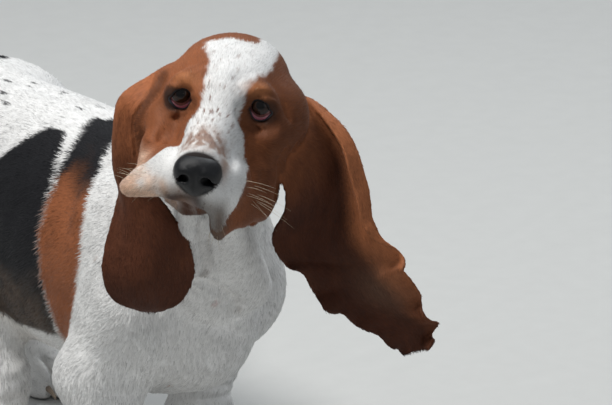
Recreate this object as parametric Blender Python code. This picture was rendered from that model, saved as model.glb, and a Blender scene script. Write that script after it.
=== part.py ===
"""Basset hound: a still, life-size model of the standing dog, head turned to its right.

The dog faces -Y with its left side towards +X. Sizes are in millimetres up to the point where
meshes are made. The body is one smooth flesh volume, built from blended rounded masses, that
thin planes part into head, neck, torso, tail and four legs. Ears, eyes, nose leather and claws
are closed pieces of their own, each face to face with what it grows from.
"""

from math import cos, pi, radians, sin

import bmesh
import bpy
import numpy as np
import openvdb
from mathutils import Euler, Matrix, Vector

MM = 0.001
GAP = 0.35  # clearance between pieces that touch

# Driving sizes of the animal, in millimetres.
WITHERS_HEIGHT = 355.0
BRISKET_HEIGHT = 118.0
HEAD_ORIGIN = (-85.0, -378.0, 487.0)  # the point midway between the eyes
HEAD_YAW, HEAD_PITCH, HEAD_ROLL = -43.0, 5.0, 6.0  # degrees
EYE_SPACING = 74.0
EYE_RADIUS = 12.8
EYE_OUTWARD = 20.0  # degrees that each eye looks out from the head's axis
NOSE_LENGTH = 112.0  # eye line to nose tip
EAR_THICKNESS = 4.0
PAW_WIDTH = 76.0
TAIL_TOP = 520.0

# Fineness of the sampled volume: the head is sampled closer than the body.
BODY_STEP = 4.5
HEAD_STEP = 2.2
FLESH_TRIANGLES = 8000

# Azimuth and tilt of the plane in which both ears are spread.
FACING_TURN, FACING_TILT = 33.0, 18.0


def turn(rx, ry, rz):
    """Rotation matrix from degrees, X first and Z last."""
    return np.array(Euler((radians(rx), radians(ry), radians(rz)), "XYZ").to_matrix())


class Frame:
    """An origin and a turn: places local millimetres in the world."""

    def __init__(self, origin=(0, 0, 0), matrix=None):
        self.origin = np.array(origin, float)
        self.matrix = np.eye(3) if matrix is None else np.array(matrix, float)

    def out(self, point):
        return self.origin + self.matrix @ np.array(point, float)

    def direction(self, vector):
        return self.matrix @ np.array(vector, float)


WORLD = Frame()
HEAD = Frame(HEAD_ORIGIN, turn(0, 0, HEAD_YAW) @ turn(HEAD_PITCH, 0, 0) @ turn(0, HEAD_ROLL, 0))


def facing_frame():
    """Across, deep and up axes of the plane that the spread ears lie along."""
    f, e = radians(FACING_TURN), radians(FACING_TILT)
    across = (cos(f), -sin(f), 0)
    deep = (cos(e) * sin(f), cos(e) * cos(f), -sin(e))
    up = (sin(e) * sin(f), sin(e) * cos(f), cos(e))
    return Frame(HEAD_ORIGIN, np.array([across, deep, up]).T)


FACING = facing_frame()


def spaced(stops):
    """Grid lines from (start, step) pairs, ending at the last start."""
    lines = []
    for (start, step), (end, _) in zip(stops[:-1], stops[1:]):
        count = max(1, round((end - start) / step))
        lines.append(np.linspace(start, end, count, endpoint=False))
    return np.concatenate(lines + [[stops[-1][0]]]).astype(np.float32)


class Flesh:
    """A sampled signed distance on a grid of uneven spacing; negative inside."""

    FAR = 60.0

    def __init__(self, axes):
        self.axes = axes
        self.value = np.full([len(a) for a in axes], self.FAR, np.float32)

    def window(self, low, high):
        cuts = []
        for axis, a, b in zip(self.axes, low, high):
            cuts.append(slice(int(np.searchsorted(axis, a)), int(np.searchsorted(axis, b))))
        return tuple(cuts)

    def local(self, cuts, frame):
        """Coordinates of the window's samples in a frame."""
        x, y, z = (self.axes[i][cuts[i]].astype(np.float32) for i in range(3))
        dx = (x - frame.origin[0])[:, None, None]
        dy = (y - frame.origin[1])[None, :, None]
        dz = (z - frame.origin[2])[None, None, :]
        m = frame.matrix.astype(np.float32)
        return [m[0, i] * dx + m[1, i] * dy + m[2, i] * dz for i in range(3)]

    def blend(self, cuts, shape, k, carve=False):
        old = self.value[cuts]
        other = -shape if carve else shape
        reach = np.maximum(k - np.abs(old - other), 0.0) / k
        bump = reach * reach * (k * 0.25)
        made = np.maximum(old, other) + bump if carve else np.minimum(old, other) - bump
        self.value[cuts] = made.astype(np.float32)

    def ball(self, centre, radii, k=20.0, spin=(0, 0, 0), frame=WORLD, carve=False):
        """Adds or carves an ellipsoid, turned by spin inside its frame."""
        own = Frame(frame.out(centre), frame.matrix @ turn(*spin))
        reach = np.sqrt(((own.matrix * np.array(radii, float)) ** 2).sum(1)) + k + 2
        cuts = self.window(own.origin - reach, own.origin + reach)
        p = self.local(cuts, own)
        ratio = np.sqrt(sum((q / r) ** 2 for q, r in zip(p, radii)))
        slope = np.sqrt(sum((q / (r * r)) ** 2 for q, r in zip(p, radii)))
        self.blend(cuts, ratio * (ratio - 1.0) / np.maximum(slope, 1e-6), k, carve)

    def limb(self, start, end, r0, r1, k=20.0, frame=WORLD, flat=(1, 1, 1), carve=False):
        """Adds or carves a tapered rod with round ends; flat scales its section."""
        a, b = frame.out(start), frame.out(end)
        wide = max(r0, r1) / min(flat) + k + 2
        cuts = self.window(np.minimum(a, b) - wide, np.maximum(a, b) + wide)
        own = Frame(a, frame.matrix)
        p = [q * f for q, f in zip(self.local(cuts, own), flat)]
        axis = (frame.matrix.T @ (b - a)) * np.array(flat)
        along = sum(q * c for q, c in zip(p, axis)) / float(axis @ axis)
        t = np.clip(along, 0, 1)
        away = np.sqrt(sum((q - t * c) ** 2 for q, c in zip(p, axis)))
        self.blend(cuts, (away - (r0 + (r1 - r0) * t)) / max(flat), k, carve)

    def crease(self, points, width, depth, frame=WORLD):
        """Sinks (depth > 0) or raises the surface along a line through the points."""
        path = np.array([frame.out(p) for p in points])
        reach = width * 2.6
        cuts = self.window(path.min(0) - reach, path.max(0) + reach)
        nearest = None
        p = self.local(cuts, WORLD)
        steps = np.linalg.norm(np.diff(path, axis=0), axis=1)
        total, run = steps.sum(), 0.0
        for a, b, step in zip(path[:-1], path[1:], steps):
            d = (b - a).astype(np.float32)
            q = [c - o for c, o in zip(p, a)]
            t = np.clip(sum(u * w for u, w in zip(q, d)) / float(d @ d), 0, 1)
            away = sum((u - t * w) ** 2 for u, w in zip(q, d))
            fade = np.clip(np.minimum(run + t * step, total - run - t * step) / (width * 1.6), 0, 1)
            effect = np.exp(-away / (width * width)) * (0.15 + 0.85 * fade)
            nearest = effect if nearest is None else np.maximum(nearest, effect)
            run += step
        self.value[cuts] += (depth * nearest).astype(np.float32)


def add_torso(f):
    back, brisket = WITHERS_HEIGHT, BRISKET_HEIGHT
    f.ball((0, -55, back - 115), (104, 165, 117), 10)
    f.ball((0, 45, back - 108), (98, 140, 116), 40)
    f.ball((0, -125, brisket + 87), (74, 110, 84), 35)
    f.ball((0, 70, brisket + 87), (66, 120, 82), 35)
    f.ball((0, -205, 212), (52, 48, 62), 30)
    f.ball((0, 150, 272), (80, 125, 80), 40)
    f.ball((0, 232, 288), (82, 86, 66), 40)
    f.limb((0, -110, back - 37), (0, 255, back - 40), 38, 36, 30, flat=(0.75, 1, 1))
    f.ball((0, -100, back - 33), (44, 70, 34), 25)
    for side in (-1, 1):
        f.ball((side * 46, 265, 272), (44, 46, 66), 25)
        f.ball((side * 60, -142, 264), (40, 62, 80), 26, (24, 0, 0))
        f.ball((side * 58, -180, 236), (36, 42, 58), 20, (0, 0, side * 12))


def add_neck(f):
    f.limb((-3, -160, 280), (-6, -262, 400), 77, 52, 30)
    nape = HEAD.out((0, 66, -34))
    f.limb((-3, -215, 350), nape, 56, 40, 28)
    throat = HEAD.out((2, 24, -66))
    f.limb((-4, -222, 246), throat, 46, 34, 26)
    f.limb(HEAD.out((-20, -26, -86)), (-30, -258, 268), 9, 22, 12)
    f.limb(HEAD.out((14, -18, -88)), (12, -266, 262), 13, 25, 14)


def add_foreleg(f, side, shoulder, elbow, wrist, paw):
    f.limb(shoulder, elbow, 43, 40, 28, flat=(1.15, 1, 1))
    f.ball((elbow[0] + side * 6, elbow[1] + 22, elbow[2] - 2), (26, 34, 26), 14, (-20, 0, 0))
    f.limb(elbow, wrist, 40, 28, 22, flat=(1.1, 1, 1))
    f.ball((wrist[0], wrist[1] - 2, wrist[2]), (32, 32, 30), 14)
    f.limb(wrist, (paw[0], paw[1] + 26, 28), 29, 27, 14)
    add_paw(f, side, paw)


def add_hindleg(f, side, hip, knee, hock, paw):
    f.ball(((hip[0] + knee[0]) / 2, (hip[1] + knee[1]) / 2 + 8, (hip[2] + knee[2]) / 2 + 10),
           (46, 84, 62), 30, (degrees_down(hip, knee), 0, 0))
    f.limb(hip, knee, 56, 42, 35, flat=(1.2, 1, 1))
    f.limb(knee, hock, 42, 25, 24, flat=(1.1, 1, 1))
    f.ball((hock[0], hock[1] + 10, hock[2] + 4), (21, 20, 24), 12)
    f.limb(hock, (paw[0], paw[1] + 26, 26), 25, 25, 14)
    add_paw(f, side, paw)


def degrees_down(a, b):
    return np.degrees(np.arctan2(b[2] - a[2], b[1] - a[1])) + 180


TOES = ((-29.0, -18.0, 0.98), (-10.5, -36.0, 1.1), (11.5, -36.0, 1.1), (30.0, -16.0, 0.98))
TOE_SPREAD = 38.0  # half the width of the paw that the toes above are laid out for
PAW_SPLAY = 12.0
SOLE_FLAT = 4.0  # how much of the pads is levelled off where they meet the floor


def paw_frame(side, paw):
    return Frame((paw[0], paw[1], 0), turn(0, 0, side * PAW_SPLAY))


def toe_places():
    """Each toe's offset across and along the paw, and its size, for the paw's width."""
    k = PAW_WIDTH / (2 * TOE_SPREAD)
    return [(x * k, y * k, size * k) for x, y, size in TOES]


def add_paw(f, side, paw):
    own = paw_frame(side, paw)
    f.ball((0, 4, 28), (37, 42, 28), 12, frame=own)
    f.ball((0, 14, 12), (33, 32, 17), 8, frame=own)
    toes = toe_places()
    for x, y, size in toes:
        f.ball((side * x, y + 6, 24), (12.5 * size, 26 * size, 21 * size), 7, (-14, 0, 0), own)
        f.ball((side * x, y - 2, 11), (11 * size, 17 * size, 12 * size), 5, frame=own)
    for (xa, ya, _), (xb, yb, _) in zip(toes[:-1], toes[1:]):
        x, y = side * (xa + xb) / 2, (ya + yb) / 2
        f.crease([(x, y - 22, 14), (x, y - 6, 32), (x, y + 18, 46)], 4.2, 4.5, own)


LEGS = {
    "leg_front_right": (-1, (-68, -192, 230), (-84, -158, 156), (-80, -182, 66), (-84, -196, 0)),
    "leg_front_left": (1, (64, -172, 226), (80, -92, 154), (78, -74, 64), (82, -84, 0)),
    "leg_hind_right": (-1, (-58, 214, 278), (-80, 98, 200), (-70, 50, 92), (-76, 18, 0)),
    "leg_hind_left": (1, (58, 232, 278), (80, 160, 196), (68, 250, 98), (73, 214, 0)),
}


def add_legs(f):
    for name, joints in LEGS.items():
        if "front" in name:
            add_foreleg(f, *joints)
        else:
            add_hindleg(f, *joints)
    f.ball((-72, 108, 214), (30, 74, 50), 35)
    f.ball((70, 150, 214), (30, 70, 48), 35)


def add_tail(f):
    """A sabre tail, thick at the croup and carried up."""
    path = smooth_path([(0, 286, 320), (0, 334, 358), (-3, 368, 412), (-4, 386, 468), (-4, 389, TAIL_TOP)], 13)
    radii = 6.0 + 20.0 * (1 - np.linspace(0, 1, len(path))) ** 1.25
    for a, b, ra, rb in zip(path[:-1], path[1:], radii[:-1], radii[1:]):
        f.limb(a, b, ra, rb, 6)


def add_skull(f):
    f.ball((0, 50, -10), (57, 70, 44), 12, frame=HEAD)
    f.ball((0, 22, -4), (42, 44, 33), 18, frame=HEAD)
    f.ball((0, 64, 10), (42, 48, 23), 14, frame=HEAD)
    for side in (-1, 1):
        f.ball((side * 50, 36, -26), (26, 40, 34), 16, (0, 0, side * -6), HEAD)
        f.ball((side * 32, 3, 14), (16, 13, 10), 8, (0, side * 16, side * -14), HEAD)
        f.ball((side * 47, 8, -30), (20, 30, 24), 12, frame=HEAD)
        f.ball((side * 42, 4, -60), (18, 32, 28), 12, frame=HEAD)


def add_muzzle(f):
    f.limb((0, -6, -20), (0, -84, -30), 33, 23, 18, HEAD, (1.1, 1, 1))
    f.limb((0, -2, -42), (0, -76, -48), 36, 27, 14, HEAD, (1.02, 1, 1))
    f.ball((0, -90, -32), (21, 17, 21), 10, frame=HEAD)
    f.limb((0, 24, -72), (-2, -66, -70), 28, 15, 12, HEAD)


def add_flews(f):
    """The right lip is flung out to the side, the left one hangs past the chin."""
    f.ball((-21, -74, -46), (20, 30, 21), 10, (0, 6, 8), HEAD)
    f.limb((-22, -80, -48), (-62, -72, -66), 17, 8.5, 8, HEAD)
    f.limb((-28, -66, -40), (-66, -64, -68), 17, 9, 8, HEAD)
    f.limb((-34, -48, -46), (-60, -52, -66), 17, 10, 8, HEAD)
    f.limb((-46, -20, -50), (-54, -38, -68), 22, 13, 12, HEAD)
    f.ball((-44, 6, -66), (20, 36, 26), 14, frame=HEAD)
    f.ball((21, -74, -50), (20, 32, 26), 10, (0, -6, -8), HEAD)
    f.ball((22, -72, -70), (14, 25, 27), 8, (0, -8, -12), HEAD)
    f.ball((34, -42, -70), (16, 34, 30), 10, (0, -8, -10), HEAD)
    f.ball((42, -6, -76), (17, 34, 32), 12, (0, -10, -4), HEAD)
    f.limb((19, -84, -80), (21, -72, -92), 9, 6.5, 6, HEAD)
    f.limb((2, -88, -84), (18, -40, -108), 4, 9, 6, HEAD, carve=True)
    f.limb((42, -4, -84), (38, -8, -108), 14, 6, 8, HEAD)


def add_face_folds(f):
    mouth_left = [(2, -102, -60), (13, -98, -84), (22, -74, -99), (38, -34, -106), (44, 2, -112)]
    f.crease([(0, -108, -52), (-1, -104, -66)], 2.6, 3.0, HEAD)
    f.crease([(2, -95, -68), (10, -84, -80), (20, -62, -84), (30, -30, -88)], 5, 6, HEAD)
    f.crease([(-4, -96, -64), (-26, -86, -70), (-52, -66, -78)], 4.5, 5, HEAD)
    f.crease(mouth_left, 3.0, -1.0, HEAD)
    for side in (-1, 1):
        f.crease([(side * 22, -10, 20), (side * 30, -4, 30), (side * 42, 6, 26)], 5, 2.2, HEAD)
        f.crease([(side * 14, -8, 16), (side * 12, 2, 34), (side * 16, 20, 44)], 5, 1.4, HEAD)
        f.crease([(side * 42, -26, -22), (side * 50, -30, -44), (side * 52, -38, -64)], 5, 2.6, HEAD)
        f.crease([(side * 58, -2, -30), (side * 62, -6, -60), (side * 54, -8, -86)], 6, 3.0, HEAD)
        f.crease([(side * 22, -38, -16), (side * 26, -62, -24), (side * 24, -84, -32)], 6, 1.8, HEAD)


def eye_centre(side):
    return (side * (EYE_SPACING / 2 - 1), 3.0, 0.0)


def eye_frame(side):
    """The eye's own frame: -Y looks out of the lids, turned outward from the head's axis."""
    return Frame(HEAD.out(eye_centre(side)), HEAD.matrix @ turn(0, 0, side * EYE_OUTWARD))


def add_lids(f):
    """Socket, lid dome, the opening that droops at its outer lower side, and the folds round it."""
    for side in (-1, 1):
        own = eye_frame(side)
        f.ball((side * -4, -22, -2), (22, 11, 15), 9, (0, 0, side * -10), own, True)
        f.ball((0, 1.5, -1), (18.0, 17.5, 17.5), 5, frame=own)
        f.ball((side * 0.5, -15, 1.5), (12.4, 14, 6.8), 1.5, (0, side * 12, 0), own, True)
        f.ball((side * 1.0, -15, -4.0), (10.0, 14, 8.8), 1.5, (0, side * -14, 0), own, True)
        f.crease([(side * -15, -10, 3), (0, -15, 11), (side * 15, -8, 5)], 3.0, -1.6, own)
        f.crease([(side * -17, -9, 6), (0, -12, 18), (side * 19, -4, 9)], 3.4, 2.4, own)
        f.crease([(side * -12, -14, -9), (side, -15, -16), (side * 14, -10, -10)], 3.0, -1.8, own)
        f.crease([(side * -15, -13, -12), (side, -14, -23), (side * 17, -8, -17)], 3.6, 2.4, own)


def add_body_folds(f):
    f.crease([(-22, -305, 385), (-14, -285, 330), (4, -262, 270), (10, -250, 225)], 7, 9)
    f.crease([(20, -275, 330), (46, -262, 290), (52, -245, 240)], 9, 4)
    f.crease([(-62, -236, 300), (-70, -232, 250), (-66, -226, 205)], 10, 3)
    for name, (side, _, _, low, paw) in LEGS.items():
        for i in range(3):
            z, y = low[2] - 22 + 17 * i, low[1]
            ring = [(low[0] + 34 * cos(a), y + 34 * sin(a), z + 6 * sin(a + i)) for a in
                    np.linspace(0.6 * i, 0.6 * i + 1.5 * pi, 7)]
            f.crease(ring, 4.5, 2.6)
    f.crease([(-112, -92, 250), (-108, -84, 205), (-98, -70, 165)], 12, 3.5)
    f.crease([(112, -72, 250), (108, -64, 205), (92, -50, 165)], 12, 3.5)


def build_flesh():
    xs = spaced([(-200, HEAD_STEP), (20, BODY_STEP), (150, 1)])
    ys = spaced([(-520, HEAD_STEP), (-255, BODY_STEP), (430, 1)])
    zs = spaced([(-12, BODY_STEP), (355, HEAD_STEP), (568, 1)])
    f = Flesh([xs, ys, zs])
    add_torso(f)
    add_tail(f)
    add_neck(f)
    add_legs(f)
    add_skull(f)
    add_muzzle(f)
    add_flews(f)
    add_face_folds(f)
    add_lids(f)
    add_body_folds(f)
    return f


def mesh_object(name, points, faces):
    """A mesh object from points in millimetres."""
    mesh = bpy.data.meshes.new(name)
    mesh.from_pydata([tuple(p) for p in np.asarray(points) * MM], [], [tuple(map(int, c)) for c in faces])
    mesh.update()
    obj = bpy.data.objects.new(name, mesh)
    bpy.context.scene.collection.objects.link(obj)
    return obj


def polygonise(name, f):
    """The zero surface of a sampled volume as a mesh object."""
    grid = openvdb.FloatGrid(Flesh.FAR)
    grid.copyFromArray(f.value)
    points, _, quads = grid.convertToPolygons(isovalue=0.0, adaptivity=0.0)
    placed = np.stack([np.interp(points[:, i], np.arange(len(a)), a) for i, a in enumerate(f.axes)], 1)
    obj = mesh_object(name, placed, quads)
    face_out(obj)
    return obj


def apply_modifiers(obj):
    graph = bpy.context.evaluated_depsgraph_get()
    made = bpy.data.meshes.new_from_object(obj.evaluated_get(graph))
    old = obj.data
    obj.modifiers.clear()
    obj.data = made
    bpy.data.meshes.remove(old)


def decimate(obj, target):
    bpy.context.view_layer.update()
    triangles = sum(len(p.vertices) - 2 for p in obj.data.polygons)
    mod = obj.modifiers.new("decimate", "DECIMATE")
    mod.ratio = min(1.0, target / triangles)
    mod.use_collapse_triangulate = True
    apply_modifiers(obj)


def keep_largest(obj):
    """Drops every closed surface but the largest."""
    bm = bmesh.new()
    bm.from_mesh(obj.data)
    seen, groups = set(), []
    for seed in bm.verts:
        if seed in seen:
            continue
        group, stack = [], [seed]
        seen.add(seed)
        while stack:
            vert = stack.pop()
            group.append(vert)
            for edge in vert.link_edges:
                other = edge.other_vert(vert)
                if other not in seen:
                    seen.add(other)
                    stack.append(other)
        groups.append(group)
    groups.sort(key=len)
    bmesh.ops.delete(bm, geom=[v for g in groups[:-1] for v in g], context="VERTS")
    bm.to_mesh(obj.data)
    bm.free()


def boolean(obj, tool, operation, solver="EXACT"):
    mod = obj.modifiers.new(operation.lower(), "BOOLEAN")
    mod.operation = operation
    mod.object = tool
    mod.solver = solver
    bpy.context.view_layer.update()
    apply_modifiers(obj)
    obj.data.update()


def inflated(obj, amount):
    """A hidden copy of a mesh, grown along its vertex normals."""
    copy = obj.copy()
    copy.data = obj.data.copy()
    copy.name = obj.name + "_room"
    bpy.context.scene.collection.objects.link(copy)
    normals = [v.normal.copy() for v in copy.data.vertices]
    for vert, normal in zip(copy.data.vertices, normals):
        vert.co += normal * amount * MM
    hide_tool(copy)
    return copy


def hide_tool(obj):
    obj.hide_render = True
    obj.display_type = "WIRE"


def discard(*objects):
    for obj in objects:
        bpy.data.objects.remove(obj)


def region(name, planes, grow=0.0):
    """The closed convex space behind a set of planes, each (outward normal, point)."""
    normals = [Vector(n).normalized() for n, _ in planes]
    offsets = [n.dot(Vector(p)) + grow for n, (_, p) in zip(normals, planes)]
    bm = bmesh.new()
    count = len(planes)
    for i in range(count):
        for j in range(i + 1, count):
            for k in range(j + 1, count):
                corner = meet(normals, offsets, (i, j, k))
                if corner and all(n.dot(corner) <= o + 1e-4 for n, o in zip(normals, offsets)):
                    bm.verts.new(corner * MM)
    bmesh.ops.remove_doubles(bm, verts=bm.verts, dist=1e-7)
    bmesh.ops.convex_hull(bm, input=bm.verts)
    bmesh.ops.recalc_face_normals(bm, faces=bm.faces)
    mesh = bpy.data.meshes.new(name)
    bm.to_mesh(mesh)
    bm.free()
    obj = bpy.data.objects.new(name, mesh)
    bpy.context.scene.collection.objects.link(obj)
    hide_tool(obj)
    return obj


def meet(normals, offsets, which):
    """The point where three planes cross, or None where they don't."""
    a, b, c = (normals[i] for i in which)
    det = a.dot(b.cross(c))
    if abs(det) < 1e-6:
        return None
    oa, ob, oc = (offsets[i] for i in which)
    return (b.cross(c) * oa + c.cross(a) * ob + a.cross(b) * oc) / det


def leg_region(side, joints, top_in, top_out, front, rear):
    """Planes round one leg: a slanted top and an upright wall beside the brisket."""
    low = joints[3]
    inner = side * 44
    slope = (side * (top_in[1] - top_out[1]), 0, side * side * (top_out[0] - top_in[0]))
    return [
        ((-side, 0, 0), (inner, 0, 0)),
        ((side, 0, 0), (side * 190, 0, 0)),
        ((0, -1, front[2]), (low[0], front[0], front[1])),
        ((0, 1, rear[2]), (low[0], rear[0], rear[1])),
        ((0, 0, -1), (0, 0, SOLE_FLAT)),
        (slope, (side * top_in[0], 0, top_in[1])),
    ]


# Where each leg leaves the trunk: inner and outer height of the cut, front and rear walls.
LEG_CUTS = {
    "leg_front_right": ((44, 150), (120, 206), (-262, 100, 0.0), (-42, 100, 0.0)),
    "leg_front_left": ((44, 150), (120, 206), (-262, 100, 0.0), (-8, 100, 0.0)),
    "leg_hind_right": ((44, 196), (120, 262), (-34, 100, 0.35), (345, 100, 0.0)),
    "leg_hind_left": ((44, 196), (120, 262), (70, 100, 0.25), (345, 100, 0.0)),
}
NECK_LOW = ((0, 0.70, -0.71), (0, -150, 350))
NECK_HIGH_NORMAL, NECK_HIGH_POINT = (0.0, -0.775, 0.632), (0.0, 16.0, -116.0)
TAIL_CUT = ((0, -0.62, -0.78), (0, 306, 338))


def cut_regions():
    high = (HEAD.direction(NECK_HIGH_NORMAL), HEAD.out(NECK_HIGH_POINT))
    made = {"neck": [NECK_LOW, high] + [((s, 0, 0), (s * 220, 0, 0)) for s in (-1, 1)]
            + [((0, 1, 0), (0, 60, 0)), ((0, -1, 0), (0, -480, 0))]
            + [((0, 0, 1), (0, 0, 640)), ((0, 0, -1), (0, 0, 60))]}
    made["tail"] = [TAIL_CUT] + [((s, 0, 0), (s * 60, 0, 0)) for s in (-1, 1)] + [
        ((0, 1, 0), (0, 470, 0)), ((0, 0, 1), (0, 0, 640)), ((0, -1, 0), (0, 240, 0))]
    for name, cut in LEG_CUTS.items():
        made[name] = leg_region(LEGS[name][0], LEGS[name], *cut)
    return made


def split_loose(obj, names):
    """Parts the remaining flesh into its pieces, largest first."""
    bm = bmesh.new()
    bm.from_mesh(obj.data)
    bm.verts.ensure_lookup_table()
    mark = {}
    groups = []
    for seed in bm.verts:
        if seed in mark:
            continue
        stack, group = [seed], []
        mark[seed] = len(groups)
        while stack:
            vert = stack.pop()
            group.append(vert.index)
            for edge in vert.link_edges:
                other = edge.other_vert(vert)
                if other not in mark:
                    mark[other] = len(groups)
                    stack.append(other)
        groups.append(set(group))
    bm.free()
    groups.sort(key=len, reverse=True)
    points = [v.co / MM for v in obj.data.vertices]
    faces = [tuple(p.vertices) for p in obj.data.polygons]
    made = []
    for name, group in zip(names, groups):
        order = {old: new for new, old in enumerate(sorted(group))}
        own = [tuple(order[i] for i in f) for f in faces if f[0] in group]
        made.append(mesh_object(name, [points[i] for i in sorted(group)], own))
    discard(obj)
    return made


def part_flesh(whole):
    """Cuts the flesh into named nodes with thin gaps."""
    parts = {}
    regions = cut_regions()
    for name, planes in regions.items():
        piece = mesh_object(name, [v.co / MM for v in whole.data.vertices],
                            [tuple(p.vertices) for p in whole.data.polygons])
        room = region(name + "_space", planes)
        boolean(piece, room, "INTERSECT")
        keep_largest(piece)
        parts[name] = piece
        discard(room)
    for name, planes in regions.items():
        room = region(name + "_space", planes, GAP)
        boolean(whole, room, "DIFFERENCE")
        discard(room)
    pieces = split_loose(whole, ("torso", "head"))
    pieces.sort(key=lambda o: sum(v.co.z for v in o.data.vertices) / len(o.data.vertices))
    pieces[0].name, pieces[1].name = "torso_", "head_"
    pieces[0].name, pieces[1].name = "torso", "head"
    parts["torso"], parts["head"] = pieces
    return parts


# Ear stations along the plane of FACING: (across, deep, up) of the front edge, middle and rear edge.
RIGHT_EAR = (
    ((-40, 44, 20), (-48, 62, 29), (-42, 92, 18)),
    ((-58, 34, 11), (-66, 52, 21), (-58, 90, 12)),
    ((-76, 27, -6), (-90, 50, 4), (-78, 88, -6)),
    ((-81, 30, -26), (-97, 55, -22), (-84, 92, -28)),
    ((-73, 38, -65), (-96, 58, -64), (-90, 96, -66)),
    ((-48, 55, -98), (-77, 52, -101), (-99, 90, -101)),
    ((-30, 70, -130), (-68, 54, -134), (-108, 92, -134)),
    ((-26, 86, -157), (-67, 62, -163), (-110, 98, -160)),
    ((-37, 97, -181), (-68, 80, -184), (-101, 104, -180)),
    ((-54, 102, -190), (-68, 97, -191), (-80, 105, -189)),
)
LEFT_EAR = (
    ((44, 16, -58), (56, 40, -28), (62, 74, 8)),
    ((57, 18, -78), (82, 50, -40), (88, 72, -4)),
    ((57, 22, -100), (96, 62, -70), (115, 62, -32)),
    ((46, 27, -122), (92, 68, -108), (130, 58, -74)),
    ((54, 33, -144), (98, 70, -131), (137, 56, -114)),
    ((76, 48, -160), (116, 78, -154), (158, 63, -139)),
    ((91, 63, -186), (130, 84, -176), (170, 72, -163)),
    ((116, 75, -199), (150, 90, -193), (185, 82, -193)),
    ((148, 88, -219), (169, 95, -213), (194, 92, -209)),
    ((165, 97, -231), (175, 99, -228), (186, 98, -225)),
)
EAR_ROWS, EAR_COLUMNS = 24, 13
LEFT_FOLD = 15.0  # width of the rolled rear edge


def smooth_path(points, count):
    """Points evenly spread in parameter along a smooth curve through the given ones."""
    p = np.array(points, float)
    p = np.concatenate([[2 * p[0] - p[1]], p, [2 * p[-1] - p[-2]]])
    made = []
    for s in np.linspace(0, len(p) - 3 - 1e-9, count):
        i, t = int(s), s - int(s)
        a, b, c, d = p[i:i + 4]
        made.append(0.5 * (2 * b + (c - a) * t + (2 * a - 5 * b + 4 * c - d) * t * t
                           + (3 * b - a - 3 * c + d) * t ** 3))
    return np.array(made)


def evenly(path, count):
    """The path again with its points evenly spread along its length."""
    run = np.concatenate([[0], np.cumsum(np.linalg.norm(np.diff(path, axis=0), axis=1))])
    want = np.linspace(0, run[-1], count)
    return np.stack([np.interp(want, run, path[:, i]) for i in range(3)], 1)


def ear_sheet(stations, fold):
    """Rows by columns of points on the middle surface of an ear."""
    columns = []
    for i in range(3):
        columns.append(smooth_path([s[i] for s in stations], EAR_ROWS))
    rows = []
    for r in range(EAR_ROWS):
        front, mid, rear = (c[r] for c in columns)
        chain = [front, mid, rear]
        if fold:
            s = r / (EAR_ROWS - 1)
            roll = 3.0 + fold * sin(pi * min(1.0, max(0.0, (s - 0.04) / 0.5)))
            inward = (mid - rear) / np.linalg.norm(mid - rear)
            chain.append(rear + inward * (roll - 3.0) * 0.9 + np.array([0, -roll * 0.8 - 1.0, 0]))
        rows.append(evenly(smooth_path(chain, 60), EAR_COLUMNS))
    sheet = np.array(rows)
    if fold:
        s = np.linspace(0, 1, EAR_ROWS)[:, None]
        c = np.linspace(0, 1, EAR_COLUMNS)[None, :]
        edge = np.clip((np.abs(c - 0.5) - 0.15) / 0.35, 0, 1)
        wave = np.sin(s * 34 + c * 2.0) * np.clip((s - 0.42) / 0.2, 0, 1) * edge
        sheet[:, :, 1] += 5.0 * wave
    return sheet


def make_ear(name, stations, fold=0.0):
    """A closed leather flap around the middle surface, thin at its edge."""
    sheet = ear_sheet(stations, fold)
    across, down = np.gradient(sheet, axis=1), np.gradient(sheet, axis=0)
    normal = np.cross(across, down)
    normal /= np.linalg.norm(normal, axis=2, keepdims=True)
    c = np.linspace(-1, 1, EAR_COLUMNS)
    half = EAR_THICKNESS / 2 * np.sqrt(np.clip(1.0 - 0.55 * c ** 4, 0.3, 1))[None, :, None]
    s = np.linspace(0, 1, EAR_ROWS)[:, None, None]
    half = half * np.clip(1.35 - 0.6 * s, 0.7, 1.3)
    top, bottom = sheet - normal * half, sheet + normal * half
    points = np.concatenate([top.reshape(-1, 3), bottom.reshape(-1, 3)])
    size = EAR_ROWS * EAR_COLUMNS
    index = np.arange(size).reshape(EAR_ROWS, EAR_COLUMNS)
    faces = []
    for r in range(EAR_ROWS - 1):
        for k in range(EAR_COLUMNS - 1):
            a, b, d, e = index[r, k], index[r, k + 1], index[r + 1, k + 1], index[r + 1, k]
            faces += [(a, b, d), (a, d, e), (size + a, size + d, size + b), (size + a, size + e, size + d)]
    rim = list(index[0]) + list(index[1:, -1]) + list(index[-1, -2::-1]) + list(index[-2:0:-1, 0])
    for a, b in zip(rim, rim[1:] + rim[:1]):
        faces += [(b, a, size + a), (b, size + a, size + b)]
    world = [FACING.out(p) for p in points]
    obj = mesh_object(name, world, faces)
    face_out(obj)
    return obj


def face_out(obj):
    bm = bmesh.new()
    bm.from_mesh(obj.data)
    bmesh.ops.recalc_face_normals(bm, faces=bm.faces)
    if bm.calc_volume(signed=True) < 0:
        bmesh.ops.reverse_faces(bm, faces=bm.faces)
    bm.to_mesh(obj.data)
    bm.free()


def ball_object(name, centre, radius, segments, rings, grow=0.0):
    bm = bmesh.new()
    bmesh.ops.create_uvsphere(bm, u_segments=segments, v_segments=rings, radius=(radius + grow) * MM)
    mesh = bpy.data.meshes.new(name)
    bm.to_mesh(mesh)
    bm.free()
    obj = bpy.data.objects.new(name, mesh)
    bpy.context.scene.collection.objects.link(obj)
    obj.data.transform(placing(HEAD.matrix, HEAD.out(centre)))
    return obj


def placing(rotation, origin):
    """The matrix that turns a mesh in metres and carries it to an origin in millimetres."""
    made = Matrix([list(map(float, row)) for row in rotation]).to_4x4()
    made.translation = Vector([float(c) * MM for c in origin])
    return made


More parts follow.
